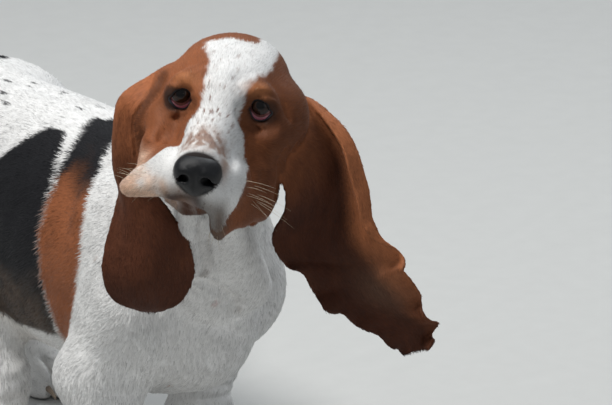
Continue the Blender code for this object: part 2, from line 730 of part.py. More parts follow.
NOSE_SIZE = (23.0, 15.0, 22.5)


def make_nose():
    """Nose leather with its two nostrils and the groove between them."""
    x, y, z = 0.0, NOSE_SIZE[1] - NOSE_LENGTH, -31.0
    centre = HEAD.out((x, y, z))
    span = 40.0
    axes = [np.arange(c - span, c + span, 1.3, dtype=np.float32) for c in centre]
    f = Flesh(axes)
    w, d, h = NOSE_SIZE
    f.ball((x, y, z + 5), (w - 1, d, h - 6), 4, frame=HEAD)
    f.ball((x, y + 0.5, z - 8), (w * 0.66, d - 1.5, h - 7), 9, frame=HEAD)
    for side in (-1, 1):
        f.ball((x + side * 12.0, y - 1.5, z), (10.5, 12.5, 13), 6, frame=HEAD)
        f.ball((x + side * 10.0, y - 15, z - 1), (4.4, 9, 4.0), 2.5, (0, side * 24, side * -20), HEAD, True)
        f.ball((x + side * 17.0, y - 9, z - 4), (5.0, 7, 2.2), 2.5, (0, side * 30, 0), HEAD, True)
    f.crease([(x, y - 16, z + 10), (x, y - 16, z), (x, y - 14, z - 16)], 1.8, 1.3, HEAD)
    obj = polygonise("nose", f)
    decimate(obj, 560)
    return obj


def make_claw(name, own, side, x, y, size):
    """A blunt curved claw from the front of one toe."""
    rings, sides = 4, 6
    points = []
    for i in range(rings):
        t = i / (rings - 1)
        r = (4.3 - 2.6 * t ** 1.6) * size
        cx, cy, cz = side * x, y - 14 - 15 * t, 17.5 - 9.0 * t * t
        for k in range(sides):
            a = 2 * pi * k / sides
            points.append(own.out((cx + r * 0.8 * cos(a), cy, cz + r * sin(a))))
    faces = [tuple(range(sides))[::-1], tuple((rings - 1) * sides + k for k in range(sides))]
    for i in range(rings - 1):
        for k in range(sides):
            n = (k + 1) % sides
            faces.append((i * sides + k, i * sides + n, (i + 1) * sides + n, (i + 1) * sides + k))
    obj = mesh_object(name, points, faces)
    face_out(obj)
    return obj


MATERIALS = {
    "head": ((0.50, 0.22, 0.10), 0.8), "neck": ((0.80, 0.78, 0.75), 0.8),
    "torso": ((0.76, 0.74, 0.72), 0.8), "tail": ((0.80, 0.78, 0.75), 0.8),
    "leg": ((0.78, 0.75, 0.71), 0.8), "ear": ((0.22, 0.07, 0.03), 0.75),
    "eye": ((0.03, 0.015, 0.01), 0.1), "nose": ((0.02, 0.022, 0.028), 0.35),
    "claw": ((0.30, 0.24, 0.18), 0.4),
}


def finish(obj):
    """Gives a node its own material and smooth shading."""
    key = next(k for k in MATERIALS if obj.name.startswith(k))
    colour, roughness = MATERIALS[key]
    mat = bpy.data.materials.new(obj.name)
    mat.use_nodes = True
    shader = next(n for n in mat.node_tree.nodes if n.type == "BSDF_PRINCIPLED")
    shader.inputs["Base Color"].default_value = (*colour, 1)
    shader.inputs["Roughness"].default_value = roughness
    shader.inputs["Metallic"].default_value = 0.0
    obj.data.materials.clear()
    obj.data.materials.append(mat)
    obj.data.shade_smooth()
    obj.data.set_sharp_from_angle(angle=radians(50))


def main():
    for obj in list(bpy.data.objects):
        bpy.data.objects.remove(obj)
    whole = polygonise("whole", build_flesh())
    keep_largest(whole)
    decimate(whole, FLESH_TRIANGLES)
    parts = part_flesh(whole)
    head = parts["head"]
    for side, label in ((-1, "right"), (1, "left")):
        eye = ball_object("eye_" + label, eye_centre(side), EYE_RADIUS, 16, 10)
        room = ball_object("socket_" + label, eye_centre(side), EYE_RADIUS, 16, 10, GAP)
        hide_tool(room)
        boolean(head, room, "DIFFERENCE")
        keep_largest(head)
        discard(room)
        parts[eye.name] = eye
    nose = make_nose()
    room = inflated(nose, GAP)
    boolean(head, room, "DIFFERENCE")
    keep_largest(head)
    discard(room)
    parts["nose"] = nose
    rooms = [inflated(head, GAP), inflated(parts["neck"], GAP)]
    for label, stations, fold in (("right", RIGHT_EAR, 0.0), ("left", LEFT_EAR, LEFT_FOLD)):
        ear = make_ear("ear_" + label, stations, fold)
        for room in rooms:
            boolean(ear, room, "DIFFERENCE", "MANIFOLD")
        keep_largest(ear)
        parts[ear.name] = ear
    discard(*rooms)
    for name, (side, *_, paw) in LEGS.items():
        own = paw_frame(side, paw)
        leg = parts[name]
        for i, (x, y, size) in enumerate(toe_places()):
            claw = make_claw(name.replace("leg", "claw") + f"_{i + 1}", own, side, x, y, size)
            room = inflated(leg, GAP)
            boolean(claw, room, "DIFFERENCE")
            keep_largest(claw)
            discard(room)
            parts[claw.name] = claw
    centre_on_base(parts.values())
    for obj in parts.values():
        finish(obj)


def centre_on_base(objects):
    """Moves the model so that the middle of its underside is the origin."""
    points = np.array([v.co for o in objects for v in o.data.vertices])
    low, high = points.min(0), points.max(0)
    shift = Vector(((low[0] + high[0]) / 2, (low[1] + high[1]) / 2, low[2]))
    for obj in objects:
        for vert in obj.data.vertices:
            vert.co -= shift
        obj.data.update()


main()
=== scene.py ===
"""Basset hound, life size and standing still: skin, coat, eyes, nose, claws and whiskers.

The flesh is one blended volume in millimetres, in the dog's own frame, where it faces -Y and its
left side is +X. The skin, the tufts of the coat and the lids all come from that volume, and are
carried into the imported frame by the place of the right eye.
"""

import logging
from dataclasses import dataclass, field
from enum import Enum
from itertools import product
from math import cos, pi, radians, sin
from typing import Dict, List, Optional, Sequence, Tuple

import bpy
import numpy as np
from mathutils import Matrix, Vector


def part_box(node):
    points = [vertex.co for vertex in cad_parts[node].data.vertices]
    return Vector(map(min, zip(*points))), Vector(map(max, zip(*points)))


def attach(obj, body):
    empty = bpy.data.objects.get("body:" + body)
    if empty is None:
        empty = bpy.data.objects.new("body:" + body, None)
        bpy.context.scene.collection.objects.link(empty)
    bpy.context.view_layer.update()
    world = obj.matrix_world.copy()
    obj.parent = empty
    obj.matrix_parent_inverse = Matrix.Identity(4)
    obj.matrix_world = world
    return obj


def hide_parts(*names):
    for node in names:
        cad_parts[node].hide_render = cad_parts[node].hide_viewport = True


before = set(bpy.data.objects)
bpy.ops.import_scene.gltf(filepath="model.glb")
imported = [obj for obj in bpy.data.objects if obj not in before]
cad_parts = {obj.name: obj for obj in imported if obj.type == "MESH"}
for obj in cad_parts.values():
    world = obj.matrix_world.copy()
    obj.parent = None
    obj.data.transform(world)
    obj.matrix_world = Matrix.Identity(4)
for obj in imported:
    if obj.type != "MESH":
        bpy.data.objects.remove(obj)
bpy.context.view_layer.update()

import openvdb
from mathutils import Euler, Matrix, Vector
from mathutils.kdtree import KDTree

Array = np.ndarray
Point = Sequence[float]
log = logging.getLogger("basset")

MM = 0.001


class Part(Enum):
    """The parts that skin and coat are sorted into."""

    HEAD = "head"
    EAR_RIGHT = "ear_right"
    EAR_LEFT = "ear_left"
    NECK = "neck"
    TORSO = "torso"
    TAIL = "tail"
    LEG_FRONT_RIGHT = "leg_front_right"
    LEG_FRONT_LEFT = "leg_front_left"
    LEG_HIND_RIGHT = "leg_hind_right"
    LEG_HIND_LEFT = "leg_hind_left"


PARTS = list(Part)
CODE = {part: i for i, part in enumerate(PARTS)}


def smoothstep(low: float, high: float, x: Array) -> Array:
    """A smooth rise from 0 at low to 1 at high.

    Args:
        low: where the rise starts.
        high: where it ends.
        x: the values.

    Returns:
        One value from 0 to 1 each.
    """
    t = np.clip((x - low) / (high - low), 0.0, 1.0)
    return t * t * (3.0 - 2.0 * t)


def mix(a: Array, b: Array, t: Array) -> Array:
    """Colours a and b mixed by t, one value a point.

    Args:
        a: the first colours, one row a point.
        b: the second colours, or one colour.
        t: the share of b.

    Returns:
        One colour a point.
    """
    t = np.clip(np.asarray(t, float), 0, 1)[:, None]
    return a * (1 - t) + np.asarray(b, float) * t


def bell(away: Array, width: float) -> Array:
    """A soft spot, 1 where away is 0 and nearly gone at twice the width."""
    return np.exp(-(away / width) ** 2)


def unit(v: Array) -> Array:
    """Vectors scaled to length one."""
    return v / np.maximum(np.linalg.norm(v, axis=-1, keepdims=True), 1e-9)


def turn(rx: float, ry: float, rz: float) -> Array:
    """Rotation matrix from degrees, X first and Z last."""
    return np.array(Euler((radians(rx), radians(ry), radians(rz)), "XYZ").to_matrix())


class Frame:
    """An origin and a turn, which place local millimetres in the dog's frame."""

    def __init__(self, origin: Point = (0, 0, 0), matrix: Optional[Array] = None) -> None:
        """Keeps the origin and the matrix, whose columns are the local axes."""
        self.origin = np.array(origin, float)
        self.matrix = np.eye(3) if matrix is None else np.array(matrix, float)

    def out(self, point: Array) -> Array:
        """Local points in the dog's frame."""
        return self.origin + np.asarray(point, float) @ self.matrix.T

    def direction(self, vector: Array) -> Array:
        """Local directions in the dog's frame."""
        return np.asarray(vector, float) @ self.matrix.T

    def into(self, point: Array) -> Array:
        """Points of the dog's frame in local measure."""
        return (np.asarray(point, float) - self.origin) @ self.matrix


WORLD = Frame()
HEAD_ORIGIN = (-85.0, -378.0, 487.0)
HEAD = Frame(HEAD_ORIGIN, turn(0, 0, -43.0) @ turn(5.0, 0, 0) @ turn(0, 6.0, 0))


@dataclass(frozen=True)
class Shot:
    """The photo's camera: its angle, its place at that angle and distance, its lens and its sensor."""

    azimuth: float = 33.0
    elevation: float = 18.0
    place: Tuple[float, float, float] = (-2625.674, -4430.755, 1944.774)
    lens: float = 326.8
    sensor: float = 36.0

    def axes(self) -> Tuple[Array, Array, Array]:
        """Across, deep and up directions of the picture.

        Returns:
            The three directions, each of length one.
        """
        f, e = radians(self.azimuth), radians(self.elevation)
        across = np.array([cos(f), -sin(f), 0.0])
        deep = np.array([cos(e) * sin(f), cos(e) * cos(f), -sin(e)])
        up = np.array([sin(e) * sin(f), sin(e) * cos(f), cos(e)])
        return across, deep, up


SHOT = Shot()
FACING = Frame(HEAD_ORIGIN, np.array(SHOT.axes()).T)


def corner_weights(t: Array) -> List[Tuple[Tuple[int, int, int], Array]]:
    """Each corner of a unit cell with its share in a linear blend.

    Args:
        t: places in the cell, from 0 to 1, one row a point.

    Returns:
        Pairs of a corner's steps and one share a point.
    """
    made = []
    for corner in product((0, 1), repeat=3):
        shares = [t[:, axis] if step else 1 - t[:, axis] for axis, step in enumerate(corner)]
        made.append((corner, shares[0] * shares[1] * shares[2]))
    return made


class Noise:
    """Seeded smooth noise and scattered spots, worked out at points."""

    OFFSET = 1000  # keeps the cells' numbers above zero

    def __init__(self, seed: int) -> None:
        """Keeps the seed."""
        self.seed = seed

    def lattice(self, cell: Array, salt: int = 0) -> Array:
        """A number from 0 to 1 for each whole-numbered cell.

        Args:
            cell: whole numbers, three a point.
            salt: picks another set of numbers.

        Returns:
            One number a point.
        """
        c = cell.astype(np.int64)
        n = c[..., 0] * 73856093 ^ c[..., 1] * 19349663 ^ c[..., 2] * 83492791
        n = (n ^ (self.seed * 2654435 + salt * 97531)) & 0x7FFFFFFF
        n = ((n ^ (n >> 13)) * 1274126177) & 0x7FFFFFFF
        n = ((n ^ (n >> 16)) * 668265263) & 0x7FFFFFFF
        return n / float(0x7FFFFFFF)

    def smooth(self, points: Array, size: float) -> Array:
        """Noise from -1 to 1 whose lumps are about size across.

        Args:
            points: where to work it out.
            size: the lumps' size.

        Returns:
            One value a point.
        """
        p = np.asarray(points, float) / size + self.OFFSET
        base = np.floor(p)
        t = p - base
        t = t * t * (3 - 2 * t)
        total = np.zeros(len(p))
        for corner, share in corner_weights(t):
            total += share * self.lattice(base + np.array(corner))
        return total * 2 - 1

    def spots(self, points: Array, cell: float, chance: float, radius: float,
              stretch: Point = (1, 1, 1)) -> Array:
        """A mask of scattered spots.

        Args:
            points: where to work it out.
            cell: spacing of the spots.
            chance: share of the cells that hold one.
            radius: a spot's mean radius.
            stretch: how much longer a spot is along each axis.

        Returns:
            One value a point, 1 inside a spot.
        """
        p = np.asarray(points, float) / np.array(stretch, float)
        base = np.floor(p / cell) + self.OFFSET
        mask = np.zeros(len(p))
        for steps in product((-1, 0, 1), repeat=3):
            own = base + np.array(steps)
            there = self.lattice(own, 1) < chance
            centre = np.stack([own[:, a] - self.OFFSET + self.lattice(own, 2 + a) for a in range(3)], 1)
            size = radius * (0.5 + self.lattice(own, 7))
            away = np.linalg.norm(p - centre * cell, axis=1) / size
            mask = np.maximum(mask, np.where(there, 1 - smoothstep(0.7, 1.15, away), 0.0))
        return mask


def spaced(stops: Sequence[Tuple[float, float]]) -> Array:
    """Grid lines from (start, step) pairs, ending at the last start.

    Args:
        stops: where each run starts, and its step.

    Returns:
        The lines, in rising order.
    """
    lines = []
    for (start, step), (end, _) in zip(stops[:-1], stops[1:]):
        count = max(1, round((end - start) / step))
        lines.append(np.linspace(start, end, count, endpoint=False))
    return np.concatenate(lines + [[stops[-1][0]]]).astype(np.float32)


class Flesh:
    """A sampled signed distance on a grid of uneven spacing, negative inside."""

    FAR = 40.0
    BAND = 8.0  # the distance is cut off here before it is polygonised

    def __init__(self, axes: List[Array]) -> None:
        """Starts empty on the three axes' grid lines."""
        self.axes = axes
        self.value = np.full([len(a) for a in axes], self.FAR, np.float32)

    def window(self, low: Array, high: Array) -> Tuple[slice, ...]:
        """The slices of the grid between two corners.

        Args:
            low: the lower corner.
            high: the upper corner.

        Returns:
            One slice an axis.
        """
        cuts = []
        for axis, a, b in zip(self.axes, low, high):
            cuts.append(slice(int(np.searchsorted(axis, a)), int(np.searchsorted(axis, b))))
        return tuple(cuts)

    def local(self, cuts: Tuple[slice, ...], own: Frame) -> List[Array]:
        """Coordinates of the window's samples in a frame.

        Args:
            cuts: the window.
            own: the frame to measure in.

        Returns:
            The three coordinates, each shaped to the window.
        """
        x, y, z = (self.axes[i][cuts[i]].astype(np.float32) for i in range(3))
        dx = (x - own.origin[0])[:, None, None]
        dy = (y - own.origin[1])[None, :, None]
        dz = (z - own.origin[2])[None, None, :]
        m = own.matrix.astype(np.float32)
        return [m[0, i] * dx + m[1, i] * dy + m[2, i] * dz for i in range(3)]

    def blend(self, cuts: Tuple[slice, ...], shape: Array, k: Array, carve: bool = False) -> None:
        """Joins or carves a distance with a fillet of size k.

        Args:
            cuts: the window that the shape fills.
            shape: its distance there.
            k: the fillet's size.
            carve: takes the shape away.
        """
        old = self.value[cuts]
        other = -shape if carve else shape
        reach = np.maximum(k - np.abs(old - other), 0.0) / k
        bump = reach * reach * (k * 0.25)
        made = np.maximum(old, other) + bump if carve else np.minimum(old, other) - bump
        self.value[cuts] = made.astype(np.float32)

    def ball(self, centre: Point, radii: Point, k: float = 20.0, spin: Point = (0, 0, 0),
             own: Frame = WORLD, carve: bool = False) -> None:
        """Adds or carves an ellipsoid, turned by spin inside its frame.

        Args:
            centre: its middle.
            radii: its half lengths.
            k: the fillet's size.
            spin: its turn in degrees.
            own: the frame it stands in.
            carve: takes it away.
        """
        place = Frame(own.out(centre), own.matrix @ turn(*spin))
        reach = np.sqrt(((place.matrix * np.array(radii, float)) ** 2).sum(1)) + k + 2
        cuts = self.window(place.origin - reach, place.origin + reach)
        p = self.local(cuts, place)
        ratio = np.sqrt(sum((q / r) ** 2 for q, r in zip(p, radii)))
        slope = np.sqrt(sum((q / (r * r)) ** 2 for q, r in zip(p, radii)))
        self.blend(cuts, ratio * (ratio - 1.0) / np.maximum(slope, 1e-6), k, carve)

    def limb(self, start: Point, end: Point, r0: float, r1: float, k: float = 20.0,
             own: Frame = WORLD, flat: Point = (1, 1, 1), carve: bool = False) -> None:
        """Adds or carves a tapered rod with round ends; flat scales its section.

        Args:
            start: the first end.
            end: the second end.
            r0: radius at the start.
            r1: radius at the end.
            k: the fillet's size.
            own: the frame it stands in.
            flat: factors that thin its section.
            carve: takes it away.
        """
        a, b = own.out(start), own.out(end)
        wide = max(r0, r1) / min(flat) + k + 2
        cuts = self.window(np.minimum(a, b) - wide, np.maximum(a, b) + wide)
        p = [q * f for q, f in zip(self.local(cuts, Frame(a, own.matrix)), flat)]
        axis = (own.matrix.T @ (b - a)) * np.array(flat)
        along = sum(q * c for q, c in zip(p, axis)) / float(axis @ axis)
        t = np.clip(along, 0, 1)
        away = np.sqrt(sum((q - t * c) ** 2 for q, c in zip(p, axis)))
        self.blend(cuts, (away - (r0 + (r1 - r0) * t)) / max(flat), k, carve)

    def crease(self, points: Sequence[Point], width: float, depth: float, own: Frame = WORLD) -> None:
        """Sinks (depth above 0) or raises the surface along a line through the points.

        Args:
            points: the line's points.
            width: half the crease's width.
            depth: how far the surface sinks.
            own: the frame of the points.
        """
        path = np.array([own.out(p) for p in points])
        reach = width * 2.6
        cuts = self.window(path.min(0) - reach, path.max(0) + reach)
        nearest = None
        p = self.local(cuts, WORLD)
        steps = np.linalg.norm(np.diff(path, axis=0), axis=1)
        total, run = steps.sum(), 0.0
        for a, b, step in zip(path[:-1], path[1:], steps):
            d = (b - a).astype(np.float32)
            q = [c - o for c, o in zip(p, a)]
            t = np.clip(sum(u * w for u, w in zip(q, d)) / float(d @ d), 0, 1)
            away = sum((u - t * w) ** 2 for u, w in zip(q, d))
            fade = np.clip(np.minimum(run + t * step, total - run - t * step) / (width * 1.6), 0, 1)
            effect = np.exp(-away / (width * width)) * (0.15 + 0.85 * fade)
            nearest = effect if nearest is None else np.maximum(nearest, effect)
            run += step
        self.value[cuts] += (depth * nearest).astype(np.float32)

    def sample(self, points: Array, values: Optional[Array] = None) -> Array:
        """The distance at points, by linear interpolation.

        Args:
            points: where to read it.
            values: another field on the same grid, if any.

        Returns:
            One distance a point.
        """
        values = self.value if values is None else values
        place = [np.interp(points[:, i], axis, np.arange(len(axis))) for i, axis in enumerate(self.axes)]
        base = [np.minimum(s.astype(int), len(axis) - 2) for s, axis in zip(place, self.axes)]
        total = np.zeros(len(points))
        for (i, j, k), share in corner_weights(np.stack(place, 1) - np.stack(base, 1)):
            total += share * values[base[0] + i, base[1] + j, base[2] + k]
        return total

    def surface(self) -> Tuple[Array, Array]:
        """Points and quads of the zero surface.

        Returns:
            Points in millimetres and quads that face out.
        """
        grid = openvdb.FloatGrid(self.BAND)
        grid.copyFromArray(np.clip(self.value, -self.BAND, self.BAND))
        points, _, quads = grid.convertToPolygons(isovalue=0.0, adaptivity=0.0)
        placed = [np.interp(points[:, i], np.arange(len(a)), a) for i, a in enumerate(self.axes)]
        return np.stack(placed, 1), quads[:, ::-1]


def smooth_path(points: Sequence[Point], count: int) -> Array:
    """Points evenly spread in parameter along a smooth curve through the given ones.

    Args:
        points: the points to go through.
        count: how many points to give.

    Returns:
        The points, one a row.
    """
    p = np.array(points, float)
    p = np.concatenate([[2 * p[0] - p[1]], p, [2 * p[-1] - p[-2]]])
    made = []
    for s in np.linspace(0, len(p) - 3 - 1e-9, count):
        i, t = int(s), s - int(s)
        a, b, c, d = p[i:i + 4]
        made.append(0.5 * (2 * b + (c - a) * t + (2 * a - 5 * b + 4 * c - d) * t * t
                           + (3 * b - a - 3 * c + d) * t ** 3))
    return np.array(made)


def evenly(path: Array, count: int) -> Array:
    """The path again with its points evenly spread along its length.

    Args:
        path: the points of the path.
        count: how many points to give.

    Returns:
        The points, one a row.
    """
    run = np.concatenate([[0], np.cumsum(np.linalg.norm(np.diff(path, axis=0), axis=1))])
    want = np.linspace(0, run[-1], count)
    return np.stack([np.interp(want, run, path[:, i]) for i in range(3)], 1)


FLIPPED = [0, 3, 2, 1]  # a quad's corners the other way round


def grid_quads(index: Array) -> Array:
    """Quads between neighbours on a grid of vertex numbers.

    Args:
        index: the vertices' numbers, in rows and columns.

    Returns:
        One row of four corners a quad.
    """
    corners = (index[:-1, :-1], index[:-1, 1:], index[1:, 1:], index[1:, :-1])
    return np.stack([c.ravel() for c in corners], 1)


def ringed(index: Array) -> Array:
    """A grid of vertex numbers with its first column again after the last."""
    return np.concatenate([index, index[:, :1]], 1)


@dataclass(frozen=True)
class Trunk:
    """Barrel, croup, brisket and shoulders."""

    withers: float = 355.0
    brisket: float = 118.0

    def shape(self, f: Flesh) -> None:
        """Adds the trunk to the volume.

        Args:
            f: the volume.
        """
        back, low = self.withers, self.brisket
        f.ball((0, -55, back - 115), (104, 165, 117), 10)
        f.ball((0, 45, back - 108), (98, 140, 116), 40)
        f.ball((0, -125, low + 87), (74, 110, 84), 35)
        f.ball((0, 70, low + 87), (66, 120, 82), 35)
        f.ball((0, -205, 212), (52, 48, 62), 30)
        f.ball((0, 150, 272), (80, 125, 80), 40)
        f.ball((0, 232, 288), (82, 86, 66), 40)
        f.limb((0, -110, back - 37), (0, 255, back - 40), 38, 36, 30, flat=(0.75, 1, 1))
        f.ball((0, -100, back - 33), (44, 70, 34), 25)
        for side in (-1, 1):
            f.ball((side * 46, 265, 272), (44, 46, 66), 25)
            f.ball((side * 60, -142, 264), (40, 62, 80), 26, (24, 0, 0))
            f.ball((side * 58, -180, 236), (36, 42, 58), 20, (0, 0, side * 12))

    def folds(self, f: Flesh) -> None:
        """Sinks the folds of loose skin and raises the muscles that show.

        Args:
            f: the volume.
        """
        f.crease([(-112, -92, 250), (-108, -84, 205), (-98, -70, 165)], 12, 3.5)
        f.crease([(112, -72, 250), (108, -64, 205), (92, -50, 165)], 12, 3.5)
        for side in (-1, 1):
            f.crease([(side * 84, -190, 300), (side * 100, -168, 250), (side * 98, -166, 200)], 14, -2.5)
            f.crease([(side * 60, -60, 345), (side * 84, -96, 320), (side * 98, -120, 280)], 14, 2.2)
            for i in range(5):
                y = -30 + 26 * i
                rib = [(side * 88, y, 312 - i), (side * 103, y + 8, 262), (side * 92, y + 18, 196)]
                f.crease(rib, 9, 0.8)
            f.crease([(side * 72, 168, 300), (side * 92, 150, 250), (side * 84, 128, 214)], 14, 2.6)
        f.crease([(0, -70, 366), (0, 60, 364), (0, 200, 358)], 10, 1.4)


CHEST_FOLD = ((-64, -298, 291), (-48, -300, 283), (-28, -295, 270), (-13, -288, 256), (-4, -279, 243))
DEWLAP_FOLD = ((-94, -356, 366), (-85, -344, 349), (-76, -333, 333), (-66, -320, 315), (-58, -308, 298))


@dataclass(frozen=True)
class Nape:
    """Neck, throat and the hanging dewlap."""

    def shape(self, f: Flesh) -> None:
        """Adds the neck to the volume.

        Args:
            f: the volume.
        """
        f.limb((-3, -160, 280), (-6, -262, 400), 77, 52, 30)
        f.limb((-3, -215, 350), HEAD.out((0, 66, -34)), 56, 40, 28)
        f.limb((-4, -222, 246), HEAD.out((2, 24, -66)), 46, 34, 26)
        f.limb(HEAD.out((-20, -26, -86)), (-30, -258, 268), 9, 22, 12)
        f.limb(HEAD.out((14, -18, -88)), (12, -266, 262), 13, 25, 14)

    def folds(self, f: Flesh) -> None:
        """Sinks the dewlap's creases and the wrinkles over the chest.

        Args:
            f: the volume.
        """
        f.crease(DEWLAP_FOLD, 4.5, 11.0)
        f.crease([(x - 12, y + 6, z) for x, y, z in DEWLAP_FOLD], 7.0, -4.0)
        f.crease([(x + 12, y + 4, z) for x, y, z in DEWLAP_FOLD], 8.0, -3.0)
        f.crease([(-22, -305, 385), (-14, -285, 330), (4, -262, 270), (10, -250, 225)], 8, 4)
        f.crease([(20, -275, 330), (46, -262, 290), (52, -245, 240)], 9, 4)
        f.crease([(-62, -236, 300), (-70, -232, 250), (-66, -226, 205)], 10, 3)
        f.crease(CHEST_FOLD, 5.0, 9.0)
        f.crease([(x - 2, y - 1, z - 11) for x, y, z in CHEST_FOLD], 6.0, -2.5)
        f.crease([(x + 2, y - 1, z + 10) for x, y, z in CHEST_FOLD], 6.0, -2.0)
        f.crease([(-40, -250, 232), (-10, -262, 222), (22, -256, 206)], 8, 2.4)
        f.crease([(34, -288, 330), (54, -268, 300), (64, -244, 262)], 8, 2.6)
        for side in (-1, 1):
            for i in range(3):
                y = -214 - 22 * i
                ring = [(side * 40, y - 6, 372 + 14 * i), (side * 62, y - 16, 340 + 12 * i),
                        (side * 66, y - 34, 306 + 8 * i)]
                f.crease(ring, 7, 1.6)


@dataclass(frozen=True)
class Paw:
    """A broad splayed foot with four toes."""

    width: float = 76.0
    splay: float = 12.0
    toes: Tuple[Tuple[float, float, float], ...] = (
        (-29.0, -18.0, 0.98), (-10.5, -36.0, 1.1), (11.5, -36.0, 1.1), (30.0, -16.0, 0.98))

    def places(self) -> List[Tuple[float, float, float]]:
        """Each toe's offset across and along the paw, and its size."""
        k = self.width / 76.0
        return [(x * k, y * k, s * k) for x, y, s in self.toes]

    def own(self, side: int, at: Point) -> Frame:
        """The paw's own frame on the floor."""
        return Frame((at[0], at[1], 0), turn(0, 0, side * self.splay))

    def shape(self, f: Flesh, side: int, at: Point) -> None:
        """Adds the paw, its pads and the clefts between the toes.

        Args:
            f: the volume.
            side: -1 on the dog's right, 1 on its left.
            at: where the paw stands.
        """
        own, toes = self.own(side, at), self.places()
        f.ball((0, 4, 28), (37, 42, 28), 12, own=own)
        f.ball((0, 14, 12), (33, 32, 17), 8, own=own)
        for x, y, size in toes:
            f.ball((side * x, y + 6, 24), (12.5 * size, 26 * size, 21 * size), 7, (-14, 0, 0), own)
            f.ball((side * x, y - 2, 11), (11 * size, 17 * size, 12 * size), 5, own=own)
            f.crease([(side * x - 6, y + 4, 43), (side * x + 6, y + 4, 43)], 4, -0.9, own)
        for (xa, ya, _), (xb, yb, _) in zip(toes[:-1], toes[1:]):
            x, y = side * (xa + xb) / 2, (ya + yb) / 2
            f.crease([(x, y - 24, 10), (x, y - 10, 28), (x, y + 14, 45)], 3.6, 5.0, own)
            f.crease([(x, y - 20, 14), (x, y - 8, 26)], 2.6, 3.0, own)


PAW = Paw()
SOLE = 4.0  # height of the flats that the dog stands on, in the dog's frame


@dataclass(frozen=True)
class Leg:
    """One leg by its joints from shoulder or hip down to the paw."""

    part: Part
    side: int
    top: Point
    bend: Point
    low: Point
    foot: Point

    def shape(self, f: Flesh) -> None:
        """Adds the leg to the volume.

        Args:
            f: the volume.
        """
        if "front" in self.part.value:
            self.shape_front(f)
        else:
            self.shape_hind(f)
        PAW.shape(f, self.side, self.foot)

    def shape_front(self, f: Flesh) -> None:
        """Adds a short, thick foreleg.

        Args:
            f: the volume.
        """
        elbow, wrist, foot = self.bend, self.low, self.foot
        f.limb(self.top, elbow, 43, 40, 28, flat=(1.15, 1, 1))
        f.ball((elbow[0] + self.side * 6, elbow[1] + 22, elbow[2] - 2), (26, 34, 26), 14, (-20, 0, 0))
        f.limb(elbow, wrist, 40, 28, 22, flat=(1.1, 1, 1))
        f.ball((wrist[0], wrist[1] - 2, wrist[2]), (32, 32, 30), 14)
        f.limb(wrist, (foot[0], foot[1] + 26, 28), 29, 27, 14)

    def shape_hind(self, f: Flesh) -> None:
        """Adds a hind leg with its thigh and hock.

        Args:
            f: the volume.
        """
        hip, knee, hock, foot = self.top, self.bend, self.low, self.foot
        lean = np.degrees(np.arctan2(knee[2] - hip[2], knee[1] - hip[1])) + 180
        centre = ((hip[0] + knee[0]) / 2, (hip[1] + knee[1]) / 2 + 8, (hip[2] + knee[2]) / 2 + 10)
        f.ball(centre, (46, 84, 62), 30, (lean, 0, 0))
        f.limb(hip, knee, 56, 42, 35, flat=(1.2, 1, 1))
        f.limb(knee, hock, 42, 25, 24, flat=(1.1, 1, 1))
        f.ball((hock[0], hock[1] + 10, hock[2] + 4), (21, 20, 24), 12)
        f.limb(hock, (foot[0], foot[1] + 26, 26), 25, 25, 14)

    def folds(self, f: Flesh) -> None:
        """Sinks the rings of loose skin above the paw and at the joint.

        Args:
            f: the volume.
        """
        low, front = self.low, "front" in self.part.value
        for i in range(5 if front else 4):
            z = low[2] - 26 + 15 * i
            t = np.clip((z - low[2]) / (self.bend[2] - low[2]), 0, 1)
            x, y = low[0] + (self.bend[0] - low[0]) * t, low[1] + (self.bend[1] - low[1]) * t
            r = 31 + 9 * t
            turns = np.linspace(0.8 * i, 0.8 * i + 1.3 * pi, 9)
            ring = [(x + r * cos(a), y + r * sin(a), z + 6 * sin(a + i)) for a in turns]
            f.crease(ring, 4.0, 2.8)
            f.crease([(p[0], p[1], p[2] + 6.5) for p in ring], 4.5, -1.2)


LEGS = (
    Leg(Part.LEG_FRONT_RIGHT, -1, (-68, -192, 230), (-84, -158, 156), (-80, -182, 66), (-84, -196, 0)),
    Leg(Part.LEG_FRONT_LEFT, 1, (64, -172, 226), (80, -92, 154), (78, -74, 64), (82, -84, 0)),
    Leg(Part.LEG_HIND_RIGHT, -1, (-58, 214, 278), (-80, 98, 200), (-70, 50, 92), (-76, 18, 0)),
    Leg(Part.LEG_HIND_LEFT, 1, (58, 232, 278), (80, 160, 196), (68, 250, 98), (73, 214, 0)),
)


@dataclass(frozen=True)
class Tail:
    """A sabre tail, thick at the croup and carried up."""

    top: float = 520.0
    stations: Tuple[Point, ...] = ((0, 286, 320), (0, 334, 358), (-3, 368, 412), (-4, 386, 468))
    end: Tuple[float, float] = (-4.0, 389.0)

    def path(self, count: int) -> Array:
        """Points from the croup to the tip."""
        return smooth_path([*self.stations, (*self.end, self.top)], count)

    def shape(self, f: Flesh) -> None:
        """Adds the tail to the volume.

        Args:
            f: the volume.
        """
        path = self.path(19)
        radii = 6.0 + 20.0 * (1 - np.linspace(0, 1, len(path))) ** 1.25
        for a, b, ra, rb in zip(path[:-1], path[1:], radii[:-1], radii[1:]):
            f.limb(a, b, ra, rb, 6)


# Where the flat cheek meets the front edge of the right ear, across, deep and up from the photo's camera. A
# crease is sunk along it and painted shade is laid in it.
EAR_GROOVE = (
    (-52, 28, 24), (-56, 22, 12), (-64, 22, 1), (-70.5, 21, -8), (-74, 21, -21), (-72, 21.5, -31),
    (-69.5, 23, -43))


